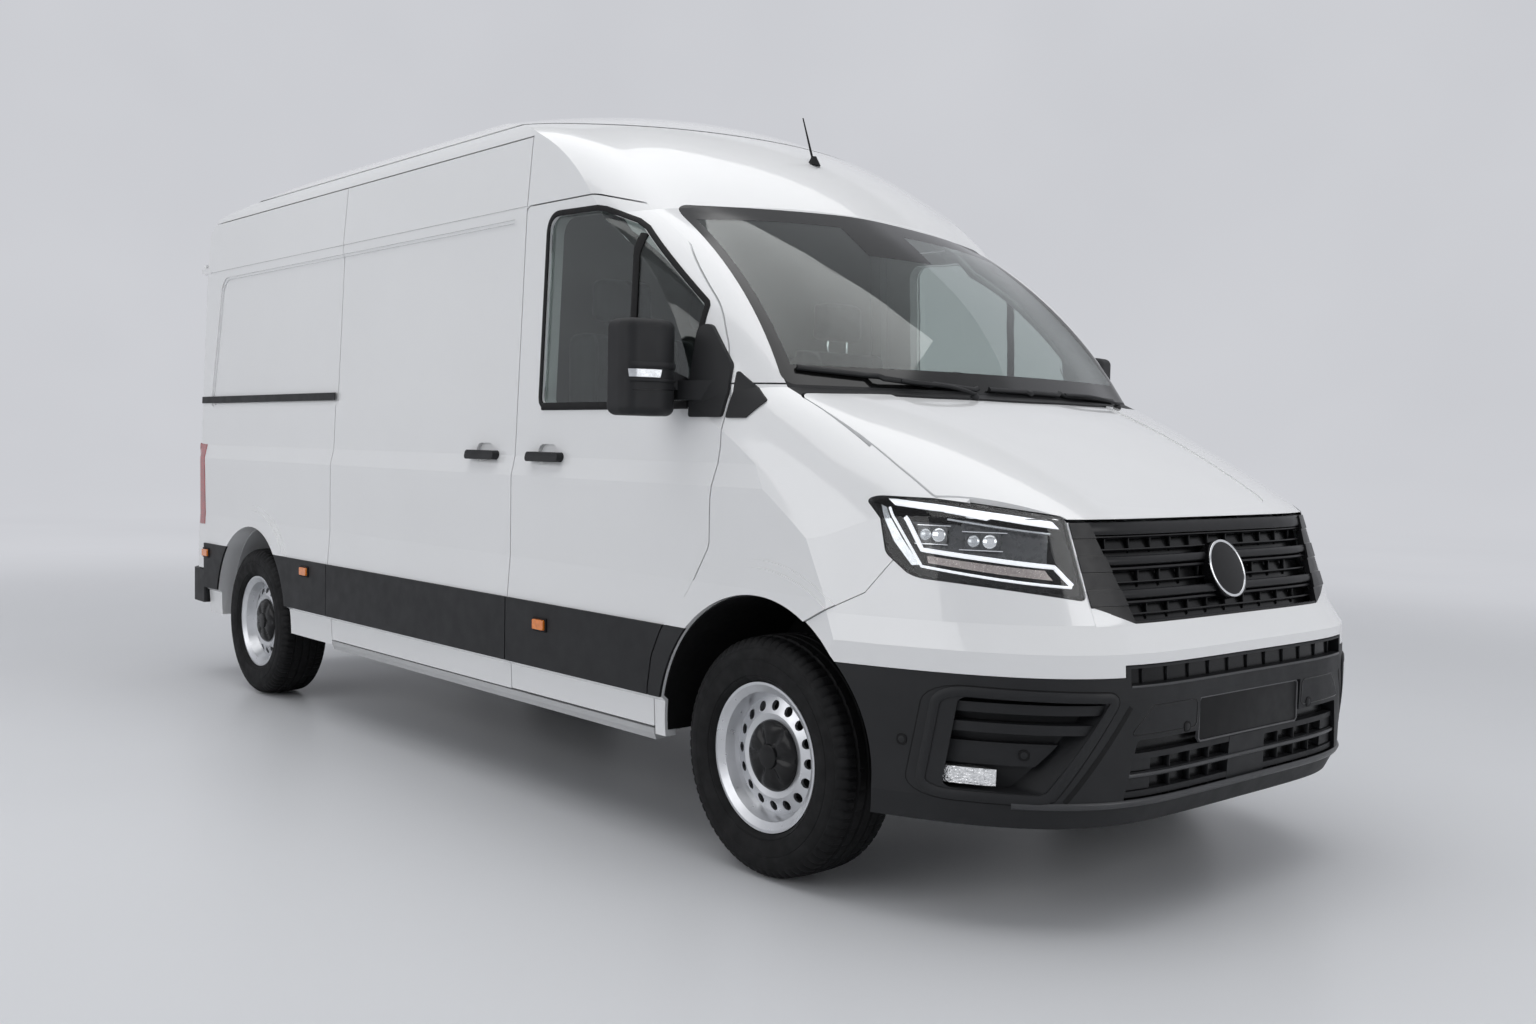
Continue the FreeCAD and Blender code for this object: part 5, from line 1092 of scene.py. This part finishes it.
def inflate(pads, cap):
    """Blows the pads up with cloth under pressure, and caps how far a point moves."""
    flat = {pad: [vertex.co.copy() for vertex in pad.data.vertices] for pad in pads}
    for pad in pads:
        cloth = pad.modifiers.new("cloth", "CLOTH")
        cloth.settings.quality = 4
        cloth.settings.use_pressure = True
        cloth.settings.uniform_pressure_force = 4.0
        cloth.settings.effector_weights.gravity = 0.0
        cloth.collision_settings.use_collision = False
    for step in range(1, BLOWN_FRAMES + 1):
        bpy.context.scene.frame_set(step)
    graph = bpy.context.evaluated_depsgraph_get()
    for pad in pads:
        blown = [vertex.co.copy() for vertex in pad.evaluated_get(graph).data.vertices]
        pad.modifiers.clear()
        for vertex, start, end in zip(pad.data.vertices, flat[pad], blown):
            move = end - start
            if move.length > cap:
                move *= cap / move.length
            vertex.co = start + move
    bpy.context.scene.frame_set(1)


def eased(value):
    value = min(1.0, max(0.0, value))
    return value * value * (3 - 2 * value)


def dip(distance, width):
    """How deep a sewn line presses at a distance from it, as a share."""
    return math.exp(-(distance / width) ** 2)


def sew(pad, centres, along, levels, face, gap_y):
    """Presses the centre panels, their seams and channels, and the gap between two places into a pad."""
    for vertex in pad.data.vertices:
        facing = vertex.normal[face]
        if facing < FACING:
            continue
        off = min(abs(vertex.co.y - centre) for centre in centres)
        inside_panel = eased((PANEL_HALF + 0.012 - off) / 0.024)
        press = PANEL_PRESS * inside_panel + SEAM_PRESS * dip(off - PANEL_HALF, 0.008)
        for level in levels:
            press += CHANNEL_PRESS * inside_panel * dip(vertex.co[along] - level, 0.009)
        if gap_y is not None:
            press += GAP_PRESS * dip(vertex.co.y - gap_y, 0.013)
        vertex.co[face] -= press * facing


def finish_pad(pad, node_name):
    smoother = pad.modifiers.new("smooth", "SUBSURF")
    smoother.levels = 1
    applied(pad)
    for polygon in pad.data.polygons:
        polygon.use_smooth = True
    settle(pad)
    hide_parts(node_name)


def stitch(name, pad, spots, way, reach):
    """A raised seam that follows a pad's face."""
    surface = BVHTree.FromPolygons([vertex.co for vertex in pad.data.vertices],
                                   [polygon.vertices for polygon in pad.data.polygons])
    run = []
    for spot in spots:
        place, normal, _, _ = surface.ray_cast(Vector(spot) - Vector(way) * reach, Vector(way))
        if place is not None:
            run.append((place, normal))
    if len(run) > 2:
        settle(ribbon(name, run, 0.005, 0.0022, SEAM_CLOTH, closed=False))


def make_seat(name, low_y, high_y, centres):
    """One seat's forms before the cloth runs; returns a row for each pad on how it is sewn."""
    gap_y = None if len(centres) == 1 else (low_y + high_y) / 2
    cushion = pad_form(name + "_cushion", (CUSHION_X[0], low_y + INSET, 0.968),
                       (CUSHION_X[1] - INSET, high_y - INSET, 1.100), 0.034, VOXEL)
    back = pad_form(name + "_back", (BACK_X[0], low_y + INSET, 1.062),
                    (BACK_X[1] - 0.010, high_y - INSET, 1.668), 0.040, VOXEL)
    pads = [(cushion, name, centres, 0, CUSHION_CHANNELS, 2, gap_y, 0.85),
            (back, name, centres, 2, BACK_CHANNELS, 0, gap_y, 0.8)]
    for index, centre in enumerate(centres):
        rest = pad_form(f"{name}_headrest_{index}", (B_SEAM + 0.094, centre - 0.122, 1.706),
                        (B_SEAM + 0.176, centre + 0.122, 1.862), 0.032, HEADREST_VOXEL)
        pads.append((rest, name, (centre,), 2, (), 0, None, 0.9))
        for post, shift in (("a", -0.055), ("b", 0.055)):
            rod = block(f"{name}_post_{index}{post}", (B_SEAM + 0.129, centre + shift - 0.006, 1.640),
                        (B_SEAM + 0.141, centre + shift + 0.006, 1.730), 0.0055, CHROME, segments=4)
            settle(rod)
            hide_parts(name)
    for piece in (block(name + "_plinth", (B_SEAM + 0.190, low_y + 0.030, 0.700),
                        (B_SEAM + 0.610, high_y - 0.030, 0.972), 0.018, CABIN),
                  block(name + "_rail", (B_SEAM + 0.205, low_y + 0.024, 0.902),
                        (B_SEAM + 0.595, high_y - 0.024, 0.940), 0.006, SOFT_BLACK)):
        settle(piece)
        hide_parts(name)
    return pads


def make_seats():
    pads = []
    for seat in SEATS:
        pads += make_seat(*seat)
    inflate([row[0] for row in pads], BLOWN_CAP)
    for pad, name, centres, along, levels, face, gap_y, fill in pads:
        sewn = "headrest" not in pad.name
        if sewn:
            sew(pad, centres, along, levels, face, gap_y)
        finish_pad(pad, name)
        for index, centre in enumerate(centres if sewn else ()):
            for part, shift in (("a", -PANEL_HALF), ("b", PANEL_HALF)):
                y = centre + shift
                if face == 0:
                    spots = [(B_SEAM + 0.15, y, 1.10 + 0.54 * step / STITCHES)
                             for step in range(STITCHES + 1)]
                    way = (-1, 0, 0)
                else:
                    spots = [(CUSHION_X[0] + 0.06 + 0.40 * step / STITCHES, y, 1.04)
                             for step in range(STITCHES + 1)]
                    way = (0, 0, -1)
                stitch(f"{pad.name}_seam_{index}{part}", pad, spots, way, 0.3)


make_seats()


# Cab: what shows of the dashboard through the glass

def make_dashboard():
    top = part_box("dashboard")[1][2]
    front = B_SEAM + 0.828
    pieces = [
        block("instrument_hood", (front - 0.040, 0.300, top - 0.030), (front + 0.200, 0.660, top + 0.030),
              0.028, CABIN, segments=5),
        block("centre_screen", (front - 0.014, -0.130, top - 0.110), (front + 0.020, 0.130, top + 0.036),
              0.008, BLACK)]
    for index, y in enumerate((-0.780, -0.200, 0.200, 0.780)):
        pieces.append(plate(f"air_vent_{index}", Vector((front + 0.001, y, top - 0.060)), BACKWARDS, 0.110,
                            0.070, 0.010, 0.012, SOFT_BLACK))
    pieces.append(block("gear_lever", (front - 0.110, -0.030, 1.120), (front - 0.080, 0.000, 1.250), 0.012,
                        CABIN))
    pieces.append(block("lever_console", (front - 0.130, -0.110, 1.050), (front + 0.080, 0.080, 1.150), 0.020,
                        CABIN))
    for piece in pieces:
        settle(piece)


make_dashboard()


# Stage, lights and camera

FADE_FROM, FADE_TO = 4.0, 11.0          # the floor turns into the backdrop between these distances
WALL_RADIUS, WALL_BEND, WALL_TOP = 18.0, 5.0, 20.0
STAGE_SEGMENTS = 64


def stage_finish():
    """Pale floor that takes shadows near the van, and an even pale backdrop further off."""
    surface = Surface("studio_floor", {"Roughness": 0.35, "Specular IOR Level": 0.25})
    surface.feed("Base Color", surface.ramp(surface.noise(0.35), (0.70, 0.71, 0.73, 1),
                                            (0.73, 0.74, 0.76, 1)))
    flat = surface.node("VectorMath", operation="MULTIPLY")
    flat.inputs[1].default_value = (1, 1, 0)
    surface.link(surface.coordinates(), flat.inputs[0])
    away = surface.node("VectorMath", operation="LENGTH")
    surface.link(flat.outputs["Vector"], away.inputs[0])
    far = surface.node("MapRange", interpolation_type="SMOOTHSTEP",
                       **{"From Min": FADE_FROM, "From Max": FADE_TO})
    surface.link(away.outputs["Value"], far.inputs["Value"])
    rays = surface.node("LightPath")
    seen = rays.outputs["Is Camera Ray"]
    for kind in ("Is Glossy Ray", "Is Transmission Ray"):
        seen = surface.calculate("MAXIMUM", seen, rays.outputs[kind])
    backdrop = surface.node("Emission", Strength=1.0)
    surface.link(surface.ramp(surface.noise(0.2), (0.59, 0.60, 0.635, 1), (0.62, 0.63, 0.665, 1)),
                 backdrop.inputs["Color"])
    surface.lay_over(backdrop, surface.calculate("MULTIPLY", seen, far.outputs["Result"]))
    return surface.material


def make_stage():
    """Floor that curves up into a wall behind the van."""
    rows = [(0.0, 0.0), (6.0, 0.0), (14.0, 0.0), (WALL_RADIUS, 0.0)]
    for degrees in range(10, 91, 10):
        turn = math.radians(degrees)
        rows.append((WALL_RADIUS + WALL_BEND * math.sin(turn), WALL_BEND - WALL_BEND * math.cos(turn)))
    rows.append((WALL_RADIUS + WALL_BEND, WALL_TOP))
    verts = [(*on_circle(step, STAGE_SEGMENTS, radius), height)
             for radius, height in rows for step in range(STAGE_SEGMENTS)]
    floor = piece_from("studio_floor", verts, faces_between(len(rows), STAGE_SEGMENTS), stage_finish())


def softbox(name, place, target, size, power):
    lamp = bpy.data.lights.new(name, "AREA")
    lamp.shape = "RECTANGLE"
    lamp.size, lamp.size_y = size
    lamp.energy = power
    made = bpy.data.objects.new(name, lamp)
    made.location = place
    made.rotation_euler = (Vector(target) - Vector(place)).to_track_quat("-Z", "Y").to_euler()
    bpy.context.scene.collection.objects.link(made)


def make_lights():
    world = bpy.data.worlds.new("studio")
    world.use_nodes = True
    background = world.node_tree.nodes["Background"]
    background.inputs["Color"].default_value = (0.86, 0.88, 0.92, 1)
    background.inputs["Strength"].default_value = 0.45
    bpy.context.scene.world = world
    softbox("ceiling", (0.5, -0.5, 8.5), (0, 0, 0), (12, 9), 430)
    softbox("side_right", (-1.0, -11.0, 4.5), (0, 0, 1.2), (12, 5), 280)
    softbox("front", (10.5, 1.5, 4.0), (2, 0, 1.0), (6, 4), 190)


CAMERA_PLACE = (FRONT_X + 2.1207, -3.6921, 1.2730)
YAW, PITCH, ROLL = 48.85, -2.74, 1.09   # degrees
FOCAL_PIXELS, FRAME_PIXELS, SENSOR_WIDTH = 1429.7, 1536, 36


def make_camera():
    """The photograph's view of the van's right front, for a frame of 1536 by 1024."""
    yaw, pitch, roll = (math.radians(degrees) for degrees in (YAW, PITCH, ROLL))
    forward = Vector((-math.sin(yaw) * math.cos(pitch), math.cos(yaw) * math.cos(pitch), math.sin(pitch)))
    level = forward.cross(Vector((0, 0, 1))).normalized()
    right = math.cos(roll) * level + math.sin(roll) * level.cross(forward)
    camera = bpy.data.cameras.new("camera")
    camera.sensor_width = SENSOR_WIDTH
    camera.lens = FOCAL_PIXELS / FRAME_PIXELS * SENSOR_WIDTH
    camera.clip_end = 200
    made = bpy.data.objects.new("camera", camera)
    turned_axes = Matrix((right, right.cross(forward), -forward)).transposed().to_4x4()
    made.matrix_world = Matrix.Translation(CAMERA_PLACE) @ turned_axes
    bpy.context.scene.collection.objects.link(made)
    bpy.context.scene.camera = made


make_stage()
make_lights()
make_camera()
bpy.context.scene.view_settings.view_transform = "Standard"
